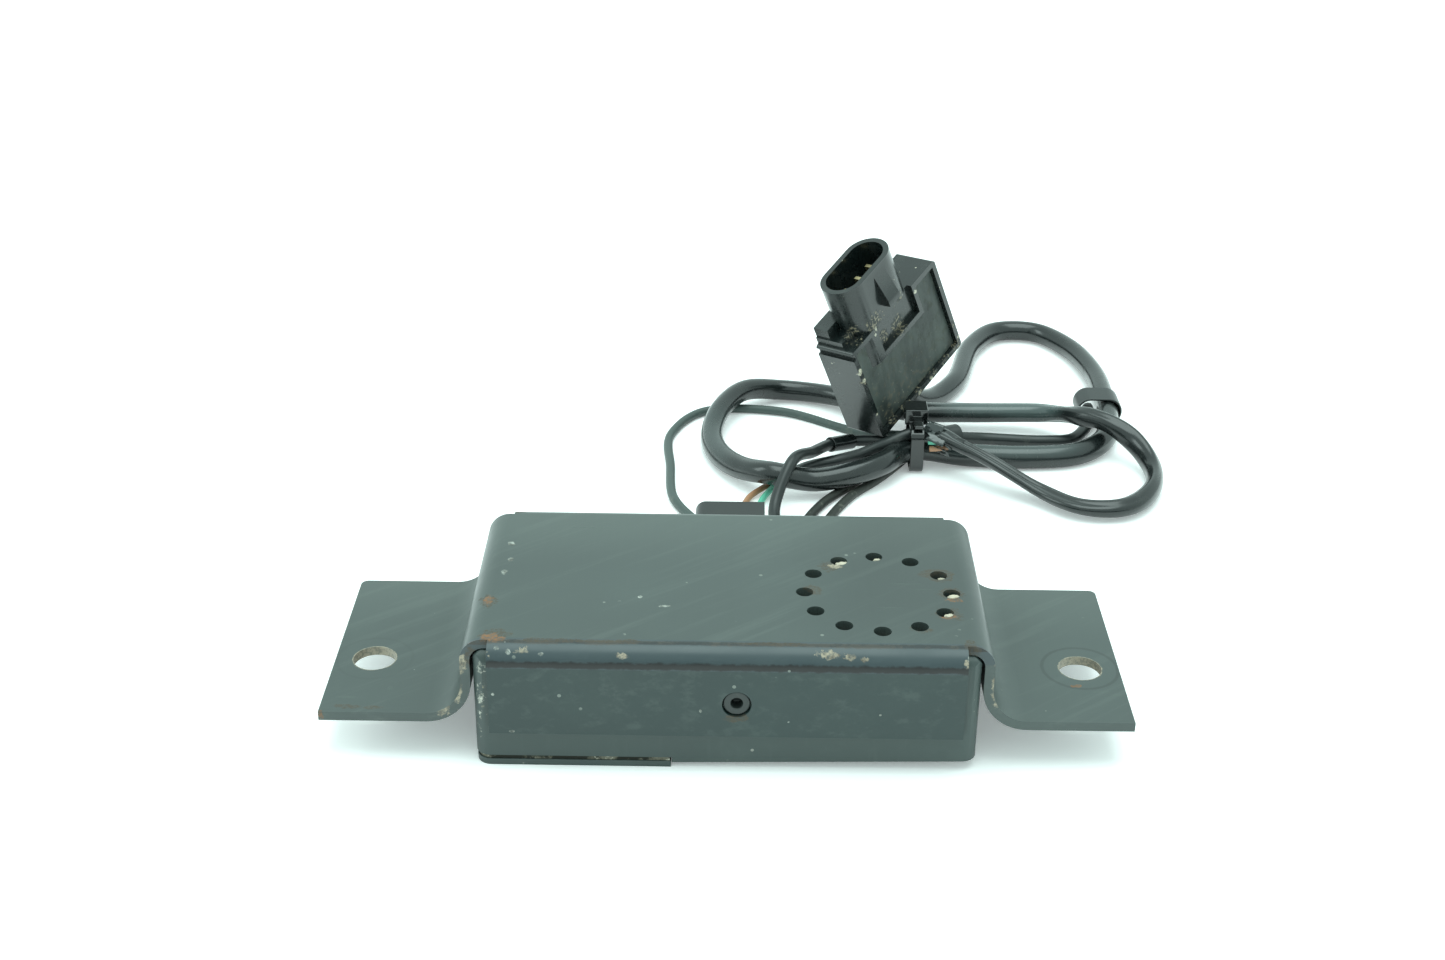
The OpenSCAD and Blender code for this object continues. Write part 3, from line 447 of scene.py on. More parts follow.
# share of the way, width mm, height mm, roll degrees, groove depth, wrinkle
mainForm = [
    (0.0, 6.0, 6.0, 0, 0.0, 0.0), (0.05, 6.0, 5.9, 20, 0.0, 0.01),
    (0.30, 6.1, 5.7, 60, 0.01, 0.015), (0.48, 6.2, 5.6, 30, 0.03, 0.02),
    (0.60, 6.2, 5.7, 60, 0.01, 0.012), (0.70, 6.5, 5.5, 20, 0.02, 0.012),
    (0.775, 6.7, 5.4, 30, 0.03, 0.02), (0.792, 5.6, 4.5, 40, 0.16, 0.05),
    (0.805, 6.2, 5.6, 20, 0.05, 0.03), (0.815, 5.4, 5.0, 15, 0.14, 0.04),
    (0.835, 4.7, 6.3, 8, 0.05, 0.02), (0.87, 4.4, 6.2, 0, 0.05, 0.02),
    (0.90, 5.8, 4.6, 0, 0.12, 0.02), (0.93, 7.0, 3.7, -10, 0.22, 0.03),
    (0.955, 7.2, 3.5, -22, 0.34, 0.07), (0.985, 7.2, 3.8, -28, 0.36, 0.11),
    (1.0, 7.8, 4.8, -30, 0.18, 0.15)]


def mainOutline(share, angle):
    wide, high, roll, groove, crease = between(mainForm, share)
    roll = math.radians(roll)
    s, u = wide / 2 * math.cos(angle), high / 2 * math.sin(angle)
    cut = sum(math.exp(-(math.atan2(math.sin(angle - a), math.cos(angle - a)) / 0.3) ** 2)
              for a in (0.95, 2.15, 1.5 + math.pi))
    wave = noise.noise((share * 42, math.cos(angle) * 1.6, math.sin(angle) * 1.6))
    keep = 1 - groove * cut + wave * crease
    s, u = s * keep, u * keep
    return (s * math.cos(roll) - u * math.sin(roll),
            s * math.sin(roll) + u * math.cos(roll))


def roundOutline(diameter, ripple=0.012, seed=0.0):
    def outline(share, angle):
        wave = noise.noise((share * 40 + seed, math.cos(angle), math.sin(angle)))
        r = diameter / 2 * (1 + ripple * wave)
        return r * math.cos(angle), r * math.sin(angle)
    return outline


# name, route, diameter, outline, material, slot, node, gap, sides, stiffness, far end
cordTable = [
    ("mainCable", mainRoute, 6.0, mainOutline, sleevePaint, "cable_black", "main_cable",
     1.6, 36, "medium", "bare"),
    ("signalLead", signalRoute, 3.2, roundOutline(3.2), leadPaint, "lead_black",
     "signal_lead", 1.2, 16, "limp", "object"),
    ("sounderLead", leadRoute, 3.0, roundOutline(3.0, seed=3.1), leadPaint, "lead_black",
     "sounder_lead", 1.2, 16, "limp", "object"),
    ("greyWire", greyRoute, 2.4, roundOutline(2.4, seed=5.2), greyPaint, "wire_grey",
     "grey_wire", 1.2, 14, "limp", "object"),
    ("supplyWire", supplyRoute, 2.4, roundOutline(2.4, 0.03, 7.7), dustyPaint,
     "wire_dusty", "supply_wire", 1.2, 14, "limp", "object"),
    ("groundWire", groundRoute, 2.4, roundOutline(2.4, 0.03, 9.3), dustyPaint,
     "wire_dusty", "ground_wire", 1.2, 14, "limp", "object"),
    ("orangeCore", orangeRoute, 1.6, roundOutline(1.6), orangePaint, "core_orange",
     "orange_core", 1.0, 12, "limp", "object"),
    ("greenCore", greenRoute, 1.6, roundOutline(1.6, seed=2.0), greenPaint, "core_green",
     "green_core", 1.0, 12, "limp", "object"),
    ("branchLead", branchRoute, 3.2, roundOutline(3.2, seed=4.4), leadPaint, "wire_grey",
     "branch_lead", 1.2, 16, "limp", "object"),
]
cordPieces = {}


mouth = {"wall": 0.45, "deep": 7, "tear": 1.3, "grain": 900}  # mm, and noise per metre


def openMouth(bm, line, m):
    # the torn end: its cap sinks in and its rim is ragged
    out = (line[-1] - line[-2]).normalized()
    bm.faces.ensure_lookup_table()
    cap = max((f for f in bm.faces if len(f.verts) > 8),
              key=lambda f: f.calc_center_median().dot(out) - (
                  f.calc_center_median() - line[-1] * mm).length * 100)
    rim = list(cap.verts)
    bmesh.ops.inset_region(bm, faces=[cap], thickness=m["wall"] * mm,
                             use_even_offset=True)
    sunk = bmesh.ops.extrude_face_region(bm, geom=[cap])["geom"]
    bmesh.ops.delete(bm, geom=[cap], context="FACES_ONLY")
    moved = [v for v in sunk if isinstance(v, bmesh.types.BMVert)]
    bmesh.ops.translate(bm, vec=-out * m["deep"] * mm, verts=moved)
    for v in rim:
        v.co += out * mm * m["tear"] * noise.noise(v.co * m["grain"])
    bmesh.ops.recalc_face_normals(bm, faces=bm.faces)


for (name, route, wide, outline, paint, slotName, node, gap, sides, bend, end) in cordTable:
    line, long = smoothLine(route, gap)
    tube = sweep(line, sides, outline)
    if end == "bare":
        openMouth(tube, line, mouth)
    mesh = toMesh(tube, name)
    piece = addPiece(name, mesh, paint, [node])
    cordPieces[name] = (piece, line, long, wide, bend, end)
    print("cord", name, round(long, 1), "mm")


easing = {
    "merge": 2e-6,  # metres
    "flat": 0.6, "keen": 30, "shade": 50,  # degrees: dissolved, bevelled, shaded sharp
}


def eased(node, name, material, slotName, edge, steps):
    # a copy of a frame part, merged, with its sharp edges rounded to edge mm
    bm = bmesh.new()
    bm.from_mesh(nodes[node].data)
    bmesh.ops.remove_doubles(bm, verts=bm.verts, dist=easing["merge"])
    bmesh.ops.dissolve_limit(bm, angle_limit=math.radians(easing["flat"]), verts=bm.verts,
                             edges=bm.edges)
    keen = [e for e in bm.edges if len(e.link_faces) == 2
            and e.calc_face_angle(0) > math.radians(easing["keen"])]
    bmesh.ops.bevel(bm, geom=keen, offset=edge * mm, offset_type="OFFSET",
                    segments=steps, profile=0.5, affect="EDGES", material=-1,
                    clamp_overlap=True)
    mesh = toMesh(bm, name, easing["shade"])
    piece = addPiece(name, mesh, material, [node])
    piece.modifiers.new("evenShade", "WEIGHTED_NORMAL").keep_sharp = True
    return piece


bracketCoat = {
    # base is a paler, lit copy and flange a darker, shaded copy: painted light and shade
    "base": (0.033, 0.044, 0.0415), "flange": (0.0135, 0.0290, 0.0280),
    # bend is a painted reflection for the bends of the front flange
    "bend": (0.036, 0.052, 0.060), "rough": 0.35,
    "dark": (0.005, 0.006, 0.006), "film": (0.16, 0.19, 0.17), "speck": (0.17, 0.19, 0.17),
    "holes": [(-74.3, -6.1, 0.08), (74.3, -6.1, 0.30)],
    "rust": (0.24, 0.11, 0.045), "brown": (0.075, 0.058, 0.040), "tan": (0.40, 0.34, 0.25),
    "cream": (0.60, 0.62, 0.56),
    "rustSpots": [
        ((-47.2, -25.4, 28.7), (1.9, 1.3, 1.2)), ((-45.6, -26.2, 28.4), (1.3, 0.9, 1.0)),
        ((-49.0, -11.1, 28.2), (0.9, 1.8, 1.2)), ((44.9, -15.2, 28.7), (1.5, 0.9, 1)),
        ((46.6, -8.2, 28.7), (1.4, 0.9, 1)), ((-81.9, -26.2, 10.2), (0.8, 0.6, 1)),
        ((72.4, -13.0, 11.1), (1.0, 0.5, 1))],
    "brownSpots": [
        ((-46.6, -25.0, 28.6), (3.6, 2.2, 1.6)), ((-50.6, -27, 24.5), (1.4, 2.2, 3.0)),
        ((-48.6, -11.1, 28.2), (1.6, 3.0, 1.5)), ((21.2, 4.2, 28.7), (3.4, 2.2, 1)),
        ((44.0, 1.6, 28.7), (3.0, 2.2, 1)), ((46.4, -6.4, 28.7), (2.9, 2.2, 1)),
        ((44.7, -13.9, 28.7), (2.9, 2.3, 1)), ((39.2, -20.4, 28.7), (2.4, 1.4, 1)),
        ((17.2, -5.2, 28.7), (2.2, 1.9, 1)), ((-24, -26.4, 28.7), (5.5, 0.7, 1)),
        ((-37, -26.4, 28.7), (4.0, 0.8, 1)), ((10, -26.6, 28.7), (7.5, 0.5, 1)),
        ((-77.2, -24.3, 11.1), (2.4, 0.7, 1)), ((-71.5, -24.6, 11.1), (1.6, 0.5, 1)),
        ((-47.4, 27.6, 28.2), (1.6, 1.2, 1)), ((47.6, 27.8, 28.0), (1.4, 1.2, 1)),
        ((48.4, -26.4, 27.4), (1.6, 2.4, 1.6)), ((2.1, -30.3, 13.6), (2.2, 0.6, 1.0))],
    "tanSpots": [
        ((20.1, -29.0, 27.9), (2.0, 0.9, 0.9)), ((24.5, -29.2, 27.6), (0.9, 0.5, 0.5)),
        ((27.0, -29.5, 27.4), (0.8, 0.4, 0.5)), ((-20.6, -29.4, 27.2), (1.2, 0.5, 0.6)),
        ((-40.5, -28.6, 27.6), (1.2, 0.6, 0.8)), ((-48.2, -28.8, 26.4), (1.0, 0.9, 1.6)),
        ((47.4, -29.6, 26.2), (0.8, 0.8, 1.2)), ((22.3, 5.0, 28.7), (1.2, 0.8, 1)),
        ((-49.8, -29.6, 20.5), (0.8, 0.6, 3.6)), ((-54.6, -26.5, 18), (1.2, 0.5, 4.5)),
        ((-53.4, -26.5, 23.5), (1.2, 0.5, 2.2)), ((54.0, -26.5, 20), (0.9, 0.5, 4.5)),
        ((-57.6, -26.5, 12.6), (1.8, 0.4, 1.6))],
    "creamSpots": [
        ((-45.6, -28.5, 28), (0.5, 0.4, 1)), ((-43.2, -29.1, 27.8), (0.45, 0.4, 1)),
        ((-46.2, 6.0, 28.6), (0.5, 0.8, 1)), ((-47.0, 0.2, 28.5), (0.5, 0.9, 1)),
        ((-46.8, 12.8, 28.5), (0.7, 0.9, 1)), ((-46.4, -30.3, 18.4), (0.3, 0.4, 0.3)),
        ((-42.9, -30.3, 9.6), (0.5, 0.4, 0.25)), ((-13.0, -12.6, 28.7), (1.3, 0.35, 1)),
        ((-18.0, -9.0, 28.7), (0.4, 0.4, 1)), ((48.0, -29.2, 27.2), (0.7, 0.9, 0.9)),
        ((-36.8, -29.4, 27.4), (0.6, 0.3, 0.4)), ((-5.2, -30.3, 15.2), (0.25, 0.3, 0.4)),
        ((30.6, -30.3, 14.8), (0.35, 0.3, 0.3)), ((12.4, -30.3, 12.8), (0.3, 0.3, 0.25))],
    "paleSpots": [
        ((-77.9, -21, 11.1), (2.4, 0.4, 1)), ((-69.3, -17.5, 11.1), (0.5, 0.7, 1)),
        ((77.1, -15.1, 11.1), (1.6, 0.35, 1)), ((80.6, -16.2, 11.1), (1.4, 0.4, 1)),
        ((36.5, -2.2, 28.7), (3.2, 0.25, 1)), ((40.5, -4.4, 28.7), (2.4, 0.22, 1)),
        ((33.0, -12.0, 28.7), (2.6, 0.2, 1)), ((-30, 20.5, 28.7), (5, 0.18, 1))],
}


def bracketPaint(c):
    paint = Paint("bracketPaint", Specular_IOR_Level=0.5)
    cloud = paint.noise(22, 4, 0.55)
    fine = paint.noise(900, 3)
    torn = paint.noise(520, 5, 0.7)
    broad = paint.noise(170, 5, 0.7)
    crumbs = paint.step(paint.noise(1500, 4, 0.7), 0.42, 0.56)
    cloudy = paint.step(paint.noise(380, 3, 0.6), 0.30, 0.58)
    film = paint.step(paint.noise(48, 6, 0.7), 0.48, 0.70)
    wiped = paint.noise(1, 5, 0.65, paint.stretched((20, 330, 330), (0, 0, -38)))
    drawn = paint.noise(1, 4, 0.6, paint.stretched((700, 22, 700)))
    dot = paint.cells(260)
    specks = (dot < 0.10) * paint.step(paint.noise(75, 3), 0.56, 0.60)
    # painted light and shade: a darker, shaded copy of the paint on the front flange, a
    # paler, lit copy elsewhere
    shaded = paint.mottled(cloud, c["flange"], 0.78, 1.22)
    dustAndLight = paint.mottled(cloud, c["base"], 1.12, 1.66)
    tone = paint.mix(paint.step(paint.axis("Y") * 1000, -29.6, -26.2), shaded, dustAndLight)
    # the rest pales towards the back, painted by Y alone
    rear = paint.step(paint.axis("Y") * 1000, 2, 27)
    tone = paint.mix(rear * 0.14, tone, c["film"])
    tone = paint.mix(paint.step(wiped, 0.50, 0.70) * 0.10, tone, c["film"])
    tone = paint.mix(film * 0.05, tone, c["film"])
    # painted shade: the top darkens round the vents at the right end
    rightEndShade = paint.spot((40, 2, 28.7), (22, 34, 6), cloud, 0.8, 0.6)
    tone = paint.mix(rightEndShade * 0.22, tone, c["dark"])
    # painted reflection on the bends of the front flange: a bluish band, between two broken
    # dark lines
    front = paint.axis("Y") * 1000 < -25.6
    high = paint.axis("Z") * 1000 > 24.4
    tone = paint.mix(front * high * 0.75, tone, c["bend"])
    upper = paint.ridge("Y", -26.8, 0.9, broad, 1.6) * (paint.axis("Z") * 1000 > 27.5)
    lower = paint.ridge("Z", 25.3, 1.0, torn, 1.3) * (paint.axis("Y") * 1000 < -28.5)
    back = paint.ridge("Z", 25.0, 0.6, torn, 1.2) * (paint.axis("Y") * 1000 > 28.5)
    tone = paint.mix((upper * 0.75).most(lower).most(back * 0.7), tone, c["dark"])
    grime = paint.step(broad, 0.44, 0.56)
    tone = paint.mix(upper * grime * 0.35, tone, c["brown"])
    worn = None
    for kind, share, ragged, tear in (
            ("brown", 0.70, broad, 4.0), ("pale", 0.22, torn, 2.6), ("tan", 0.80, torn, 4.4),
            ("rust", 0.80, torn, 4.0), ("cream", 0.55, torn, 3.6)):
        area = paint.patches(c[kind + "Spots"], ragged, tear) * (0.35 + crumbs * 0.65)
        tint = c["film"] if kind == "pale" else paint.mix(cloudy, c["brown"], c[kind])
        tone = paint.mix(area * share, tone, tint)
        worn = area if worn is None else worn.most(area)
    tone = paint.mix(specks * 0.8, tone, c["speck"])
    for x, y, mark in c["holes"]:
        bare = paint.spot((x, y, 0), (4.66, 4.66, 900), torn, 0.16, 0.02)
        tone = paint.mix(bare * (0.35 + crumbs * 0.35), tone, c["tan"])
        pressed = (paint.spot((x, y, 11.1), (8.3, 8.3, 3), torn, 0.06, 0.02)
                   - paint.spot((x, y, 11.1), (7.6, 7.6, 3), torn, 0.06, 0.02))
        tone = paint.mix(pressed.held() * mark, tone, c["dark"])
    rough = (cloud - 0.5) * 0.16 + c["rough"] + film * 0.08 + worn * 0.35 + drawn * 0.06
    height = fine * 0.12 + drawn * 0.10 + torn * worn * 1.2 + cloud * 0.6 + upper * grime
    return paint.finish(tone, rough, height, 0.30, 0.10)


boxCoat = {
    "base": (0.036, 0.053, 0.050), "rough": 0.42, "film": (0.17, 0.20, 0.18),
    "cream": (0.52, 0.52, 0.45), "tan": (0.30, 0.28, 0.21),
    "creamSpots": [
        ((-49.6, -29.6, 23.2), (1.6, 1.6, 3.4)), ((-50.0, -29.2, 17), (1.3, 1.6, 5.5)),
        ((-50.2, -29.0, 10), (0.9, 1.4, 4.0)), ((50.0, -29.4, 16), (0.7, 1.2, 4.0)),
        ((50.2, -29.6, 7.6), (0.6, 0.8, 1.0)), ((47.0, -30.3, 7.2), (0.5, 0.4, 0.3)),
        ((48.6, -30.2, 7.5), (0.4, 0.4, 0.3)), ((-39.8, -30.3, 3.4), (1.8, 0.5, 0.35)),
        ((49.9, -29.6, 25.4), (0.7, 0.9, 1.2)), ((-50.4, -29.2, 5.6), (0.5, 0.8, 0.8)),
        ((50.2, -29.4, 4.4), (0.5, 1.0, 1.6))],
    "tanSpots": [
        ((-49.4, -29.8, 19), (1.7, 1.4, 8.0)), ((-50.0, -29.4, 8.5), (1.1, 1.2, 6.0)),
        ((49.7, -29.8, 15), (0.9, 0.8, 7.5)), ((50.4, -29.0, 22), (0.6, 1.0, 4.0)),
        ((-30, -30.3, 2.0), (20, 0.8, 0.5)), ((-23, -30.3, 3.5), (5, 0.6, 0.5)),
        ((-44, -30.3, 3.0), (5, 0.6, 0.7)), ((50.2, -29.4, 4), (0.9, 1.2, 2.2))],
}


def boxPaint(c):
    paint = Paint("boxPaint", Specular_IOR_Level=0.5)
    cloud = paint.noise(30, 4, 0.6)
    fine = paint.noise(1100, 2)
    torn = paint.noise(620, 5, 0.7)
    broad = paint.noise(210, 5, 0.7)
    film = paint.step(paint.noise(60, 6, 0.72), 0.50, 0.72)
    runs = paint.step(paint.noise(1, 4, 0.6, paint.stretched((420, 420, 34))), 0.55, 0.75)
    tone = paint.mottled(cloud, c["base"], 0.85, 1.2)
    tone = paint.mix(film * 0.07 + runs * 0.05, tone, c["film"])
    tan = paint.patches(c["tanSpots"], broad, 3.6)
    cream = paint.patches(c["creamSpots"], torn, 3.2)
    crumbs = paint.step(paint.noise(1300, 4, 0.7), 0.42, 0.58)
    tone = paint.mix(tan * (0.25 + crumbs * 0.6), tone, c["tan"])
    tone = paint.mix(cream * (0.4 + crumbs * 0.5), tone, c["cream"])
    specks = (paint.cells(240) < 0.08) * paint.step(paint.noise(64, 3), 0.55, 0.60)
    tone = paint.mix(specks * 0.4, tone, c["cream"])
    rough = (cloud - 0.5) * 0.18 + c["rough"] + film * 0.1 + tan.most(cream) * 0.3
    height = fine * 0.2 + broad * tan + torn * cream * 1.5 + cloud * 0.3
    return paint.finish(tone, rough, height, 0.3, 0.08)


def blockPoint(along, up, out):
    # a point of the connector block from its own axes, in mm
    at = Vector((40.7, 113.9, 6.1))
    along = Vector((0.577, 0.708, 0.407)) * along
    up = Vector((-0.330, -0.253, 0.909)) * up
    out = Vector((0.747, -0.659, 0.088)) * out
    return tuple(at + along + up + out)


def blockSpots(marks):
    # round spots from (along, up, out, half size)
    return [(blockPoint(a, u, w), (z, z, z)) for a, u, w, z in marks]


blockCoat = {
    "base": (0.0055, 0.009, 0.0088), "rough": 0.24, "film": (0.15, 0.17, 0.15),
    "tan": (0.20, 0.175, 0.12), "cream": (0.62, 0.58, 0.45),
    "tanSpots": blockSpots([
        (12, 31.5, -2, 3.2), (5, 32, -2, 2.4), (22, 31, -2, 2.6), (6, 0.8, 0, 1.6),
        (12, 0.6, 0, 1.8), (18, 0.6, 0, 1.6), (25, 0.7, 0, 2.0), (31, 0.7, 0, 1.8),
        (37, 1, 0, 1.8), (0.6, 20, 0, 1.2), (38, 8, 0, 1.2), (20, 23, -1, 2.6),
        (14, 24, -1, 2.0)]),
    "creamSpots": blockSpots([
        (0.6, 23.4, 0, 0.8), (0.9, 20.2, 0, 0.65), (11.2, 29.4, 0, 0.6),
        (10.2, 28.2, 0, 0.45), (28.6, 27.5, 0, 0.5), (18, 0.5, 0, 0.45),
        (24, 0.4, 0, 0.5), (38.6, 3, 0, 0.4), (18.6, 36.0, 0.3, 0.6), (1, 8, 0, 0.4)]),
}


def blockPaint(c):
    paint = Paint("blockPaint", Specular_IOR_Level=0.5, Coat_Weight=0.25,
                  Coat_Roughness=0.16)
    cloud = paint.noise(60, 4, 0.6)
    fine = paint.noise(1300, 2)
    torn = paint.noise(900, 4, 0.7)
    film = paint.step(paint.noise(120, 6, 0.75), 0.50, 0.70)
    tone = paint.mottled(cloud, c["base"], 0.8, 1.3)
    tone = paint.mix(film * 0.07, tone, c["film"])
    grit = paint.step(paint.noise(1500, 3, 0.6), 0.52, 0.60)
    tan = paint.patches(c["tanSpots"], torn, 2.2)
    cream = paint.patches(c["creamSpots"], torn, 2.6)
    tone = paint.mix((tan * grit * 1.1).least(0.95), tone, c["tan"])
    tone = paint.mix(cream * (0.45 + grit * 0.5), tone, c["cream"])
    specks = (paint.cells(420) < 0.10) * paint.step(paint.noise(110, 3), 0.57, 0.62)
    tone = paint.mix(specks * 0.6, tone, c["cream"])
    rough = (cloud - 0.5) * 0.2 + c["rough"] + film * 0.14 + tan * 0.3
    return paint.finish(tone, rough, fine * 0.15 + grit * tan + cream + cloud * 0.3,
                        0.3, 0.07)


pottingCoat = {
    "deep": (0.015, 0.022, 0.020), "pale": (0.052, 0.066, 0.058),
    "dust": (0.14, 0.12, 0.085), "speck": (0.34, 0.31, 0.23),
    "darkPatch": (0.012, 0.016, 0.015), "darkPatchAt": (29, 17, -1.5), "darkPatchSize": 4.2,
    "dustFrom": 9.0, "dustTo": 26.0,  # heights in mm
}


def pottingPaint(c):
    # cast resin: mottled grey green, brown dust towards its low edge
    paint = Paint("pottingPaint", Specular_IOR_Level=0.45)
    cloud = paint.noise(75, 5, 0.6)
    dust = paint.step(paint.noise(520, 5, 0.72), 0.50, 0.62)
    low = 1 - paint.step(paint.axis("Z") * 1000, c["dustFrom"], c["dustTo"])
    smear = paint.noise(1, 4, 0.6, paint.stretched((240, 240, 50), (0, 18, 0)))
    tone = paint.mix(paint.step(cloud * 0.5 + smear * 0.5, 0.36, 0.64),
                     c["deep"], c["pale"])
    tone = paint.mix(dust * (low * 0.65 + 0.12), tone, c["dust"])
    specks = (paint.cells(620) < 0.14) * (low + 0.15)
    tone = paint.mix((specks * 0.5).least(0.8), tone, c["speck"])
    # a darker patch round one point of the potting
    darkPatch = paint.spot(blockPoint(*c["darkPatchAt"]), (c["darkPatchSize"],) * 3, cloud, 1.6, 0.5)
    tone = paint.mix(darkPatch * 0.55, tone, c["darkPatch"])
    return paint.finish(tone, cloud * 0.2 + 0.36 + dust * 0.2, dust * 0.6 + cloud, 0.35, 0.12)


def mouldedPaint(name, base, rough, coat=0.0):
    paint = Paint(name, Coat_Weight=coat, Coat_Roughness=0.1)
    cloud = paint.noise(90, 4)
    fine = paint.noise(1500, 2)
    film = paint.step(paint.noise(170, 5, 0.7), 0.52, 0.72)
    tone = paint.mottled(cloud, base, 0.8, 1.3)
    tone = paint.mix(film * 0.08, tone, (0.16, 0.18, 0.16))
    return paint.finish(tone, (cloud - 0.5) * 0.15 + rough + film * 0.12, fine, 0.2, 0.04)


bracketSkin = bracketPaint(bracketCoat)
boxSkin = boxPaint(boxCoat)
blockSkin = blockPaint(blockCoat)
plugSkin = mouldedPaint("plugPaint", (0.006, 0.008, 0.008), 0.42)
tieSkin = mouldedPaint("tiePaint", (0.005, 0.006, 0.006), 0.14, 0.4)
rivetSkin = mouldedPaint("rivetPaint", (0.018, 0.024, 0.023), 0.34)
pottingSkin = pottingPaint(pottingCoat)
# node, piece, material, slot, edge in mm, steps
easedPieces = [
    ("bracket", "bracketShell", bracketSkin, "bracket_paint", 0.3, 2),
    ("box_shell", "boxShell", boxSkin, "box_plastic", 0.35, 2),
    ("box_cover", "boxCover", boxSkin, "cover_plastic", 0.25, 2),
    ("bracket_rivets", "bracketRivets", rivetSkin, "rivet_black", 0.25, 3),
    ("rear_plug", "rearPlug", plugSkin, "connector_black", 0.4, 3),
    ("block_shell", "blockShell", blockSkin, "block_plastic", 0.4, 3),
    ("block_potting", "blockPotting", pottingSkin, "potting_grey", 0.3, 2),
    ("cable_tie", "cableTie", tieSkin, "tie_nylon", 0.25, 2),
    ("splice_wrap", "spliceWrap", leadPaint, "tape_black", 0.3, 2),
    ("shrink_boot", "shrinkBoot", sleevePaint, "cable_black", 0.15, 2),
    ("tape_band", "tapeBand", leadPaint, "tape_black", 0.15, 2),
]
for row in easedPieces:
    eased(*row)
print("eased pieces made")

# ends of two cut cores, in the open end of the sleeve
stubs = {
    "greenStub": ([(58.6, 106.4, 9.3), (56, 105.9, 9.4), (53.6, 105.6, 9.3),
                   (51.8, 105.9, 9.2)], greenPaint, "core_green"),
    "orangeStub": ([(58.4, 106.0, 8.0), (55.8, 105.2, 7.9), (53.8, 105.0, 7.7),
                    (52.2, 105.3, 7.5)], orangePaint, "core_orange"),
}
for name, (route, paint, slotName) in stubs.items():
    line = smoothLine(route, 0.5)[0]
    addPiece(name, toMesh(sweep(line, 12, roundOutline(1.5)), name), paint)

filmSkin = mouldedPaint("filmPaint", (0.02, 0.026, 0.026), 0.12, 0.5)
film = {
    # place, length, width, turn about the cable's own line, lift, tilt, all mm or degrees
    "flaps": [((54.2, 105.2, 10.6), 5.2, 4.6, 20, 12, 8),
              ((54.6, 104.4, 7.0), 4.6, 3.4, -50, 6, -14),
              ((53.4, 107.6, 12.0), 5.0, 3.6, 60, 22, 20),
              ((56.6, 104.0, 9.2), 3.6, 3.0, -10, 30, 0)],
}


def tornFilm(f):
    bm = bmesh.new()
    for at, long, wide, turn, lift, tilt in f["flaps"]:
        made = bmesh.ops.create_grid(bm, x_segments=9, y_segments=7, size=0.5)["verts"]
        for v in made:
            x, y = v.co.x * long, v.co.y * wide
            tear = noise.noise(Vector((y * 1.3, long, turn))) * 1.5
            x += tear * max(0.0, -v.co.x * 2)
            bulge = 0.9 * math.cos(v.co.y * 2.2) + 0.35 * noise.noise(Vector((x, y, turn)))
            v.co = Vector((x, y, bulge)) * mm
        spin = (Matrix.Rotation(math.radians(-40), 3, "Z")
                @ Matrix.Rotation(math.radians(lift), 3, "Y")
                @ Matrix.Rotation(math.radians(turn), 3, "X")
                @ Matrix.Rotation(math.radians(tilt), 3, "Z"))
        bmesh.ops.rotate(bm, cent=(0, 0, 0), matrix=spin, verts=made)
        bmesh.ops.translate(bm, vec=Vector(at) * mm, verts=made)
    bmesh.ops.solidify(bm, geom=bm.faces[:], thickness=0.12 * mm)
    bmesh.ops.recalc_face_normals(bm, faces=bm.faces)
    addPiece("tornFilm", toMesh(bm, "tornFilm"), filmSkin)


tornFilm(film)

fluff = {
    # place, half sizes in mm
    "lumps": [((24.3, 7.2, 27.7), (1.35, 1.0, 0.6)), ((46.8, -6.0, 27.8), (1.3, 0.9, 0.5)),
              ((45.2, -13.8, 27.8), (1.2, 0.9, 0.5)), ((31.8, 9.4, 27.6), (0.9, 0.5, 0.5)),
              ((44.9, 2.0, 27.4), (0.8, 0.5, 0.4))],
    "tone": (0.42, 0.38, 0.30),
}


def ventFluff(f):
    bm = bmesh.new()
    for at, size in f["lumps"]:
        made = bmesh.ops.create_icosphere(bm, subdivisions=3, radius=1)["verts"]
        for v in made:
            swell = 1 + 0.35 * noise.noise(v.co * 2.1 + Vector(at))
            v.co = Vector(a * b * swell for a, b in zip(v.co, size)) * mm
        bmesh.ops.translate(bm, vec=Vector(at) * mm, verts=made)
    addPiece("ventFluff", toMesh(bm, "ventFluff"),
             plainPaint("fluffPaint", f["tone"], 0.9, 0.6, 0.2, 1500, 0.4))


ventFluff(fluff)
print("small things made")

seamCoat = {
    "dark": (0.016, 0.017, 0.013), "tan": (0.13, 0.125, 0.095), "cream": (0.46, 0.45, 0.38),
}


def seamPaint(c):
    # old sealant along the cover: dark, broken by dried tan and cream
    paint = Paint("seamPaint", Specular_IOR_Level=0.3)
    broad = paint.noise(150, 5, 0.7)
    torn = paint.noise(700, 5, 0.7)
    tone = paint.mix(paint.step(broad, 0.46, 0.56), c["dark"], c["tan"])
    tone = paint.mix(paint.step(torn * 0.5 + broad * 0.5, 0.54, 0.60), tone, c["cream"])
    return paint.finish(tone, 0.85, torn, 0.4, 0.1)


seamSkin = seamPaint(seamCoat)
for holder in nodes["cover_seal"].material_slots:
    holder.material = seamSkin

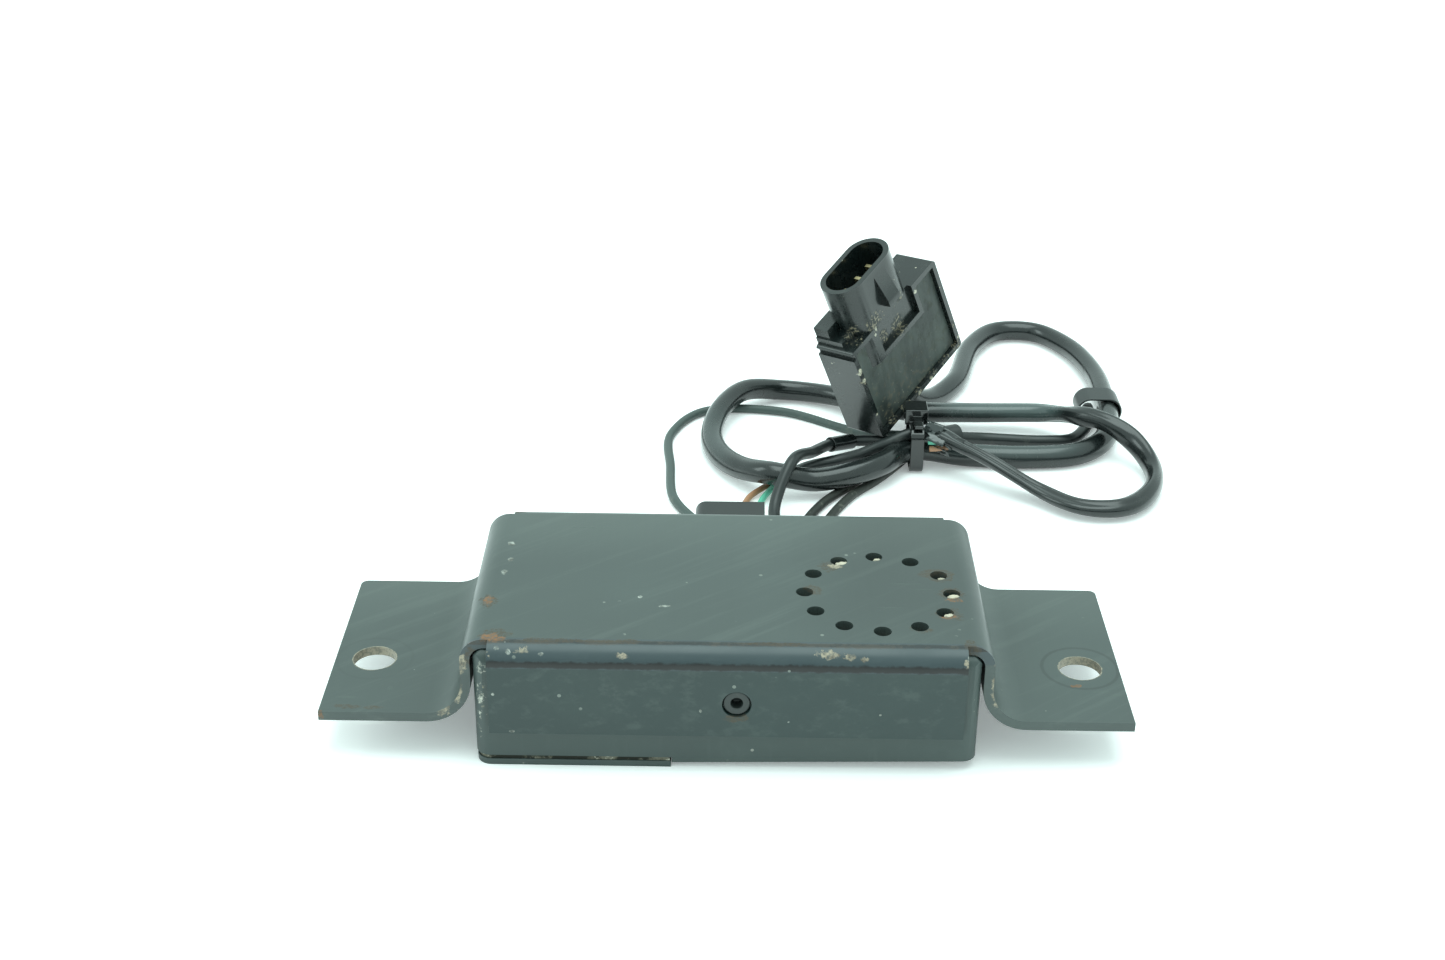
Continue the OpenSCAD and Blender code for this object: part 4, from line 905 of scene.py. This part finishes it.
# node: colour, roughness, fixed sockets
insidePaints = {
    "cover_screws": ((0.45, 0.46, 0.44), 0.35, {"Metallic": 1.0}),
    "board_screws": ((0.5, 0.5, 0.48), 0.3, {"Metallic": 1.0}),
    "circuit_board": ((0.02, 0.13, 0.06), 0.35, {}),
    "controller_chips": ((0.02, 0.02, 0.022), 0.5, {}),
    "capacitors": ((0.03, 0.05, 0.13), 0.3, {}),
    "driver_transistor": ((0.02, 0.02, 0.022), 0.45, {}),
    "small_parts": ((0.36, 0.28, 0.16), 0.5, {}),
    "sounder_case": ((0.02, 0.02, 0.022), 0.35, {}),
    "sounder_disc": ((0.6, 0.4, 0.15), 0.35, {"Metallic": 1.0}),
    "vent_mesh": ((0.55, 0.53, 0.45), 0.85, {}),
    "sounder_gasket": ((0.03, 0.03, 0.03), 0.8, {}),
    "motion_base": ((0.03, 0.03, 0.033), 0.5, {}),
    "spring_clamp": ((0.5, 0.5, 0.48), 0.35, {"Metallic": 1.0}),
    "clamp_screw": ((0.5, 0.5, 0.48), 0.3, {"Metallic": 1.0}),
    "leaf_root": ((0.6, 0.6, 0.56), 0.25, {"Metallic": 1.0}),
    "leaf_spring": ((0.6, 0.6, 0.56), 0.25, {"Metallic": 1.0}),
    "pendulum_weight": ((0.4, 0.41, 0.42), 0.3, {"Metallic": 1.0}),
    "pickup_coil": ((0.5, 0.18, 0.07), 0.35, {"Metallic": 1.0}),
    "trimmer_body": ((0.03, 0.12, 0.4), 0.4, {}),
    "trimmer_rotor": ((0.75, 0.72, 0.6), 0.5, {}),
    "header_shell": ((0.015, 0.017, 0.017), 0.4, {}),
    "header_pins": ((0.6, 0.44, 0.18), 0.3, {"Metallic": 1.0}),
    "wire_grommet": ((0.012, 0.012, 0.013), 0.6, {}),
    "board_leads": ((0.1, 0.045, 0.025), 0.4, {}),
    "socket_pins": ((0.5, 0.42, 0.24), 0.35, {"Metallic": 1.0}),
    "socket_seal": ((0.08, 0.085, 0.085), 0.6, {}),
    "cable_boot": ((0.012, 0.013, 0.013), 0.5, {}),
}
for node, (base, rough, fixed) in insidePaints.items():
    paint = plainPaint(node + "Paint", base, rough, 0.4, 0.03, 900, 0.15, **fixed)
    for holder in nodes[node].material_slots:
        holder.material = paint
print("inside finishes set")

for name, (piece, line, long, wide, bend, end) in cordPieces.items():
    tuple(line[0] * mm)
    round(long * mm, 3)
    wide * mm
    [tuple(p * mm) for p in line]
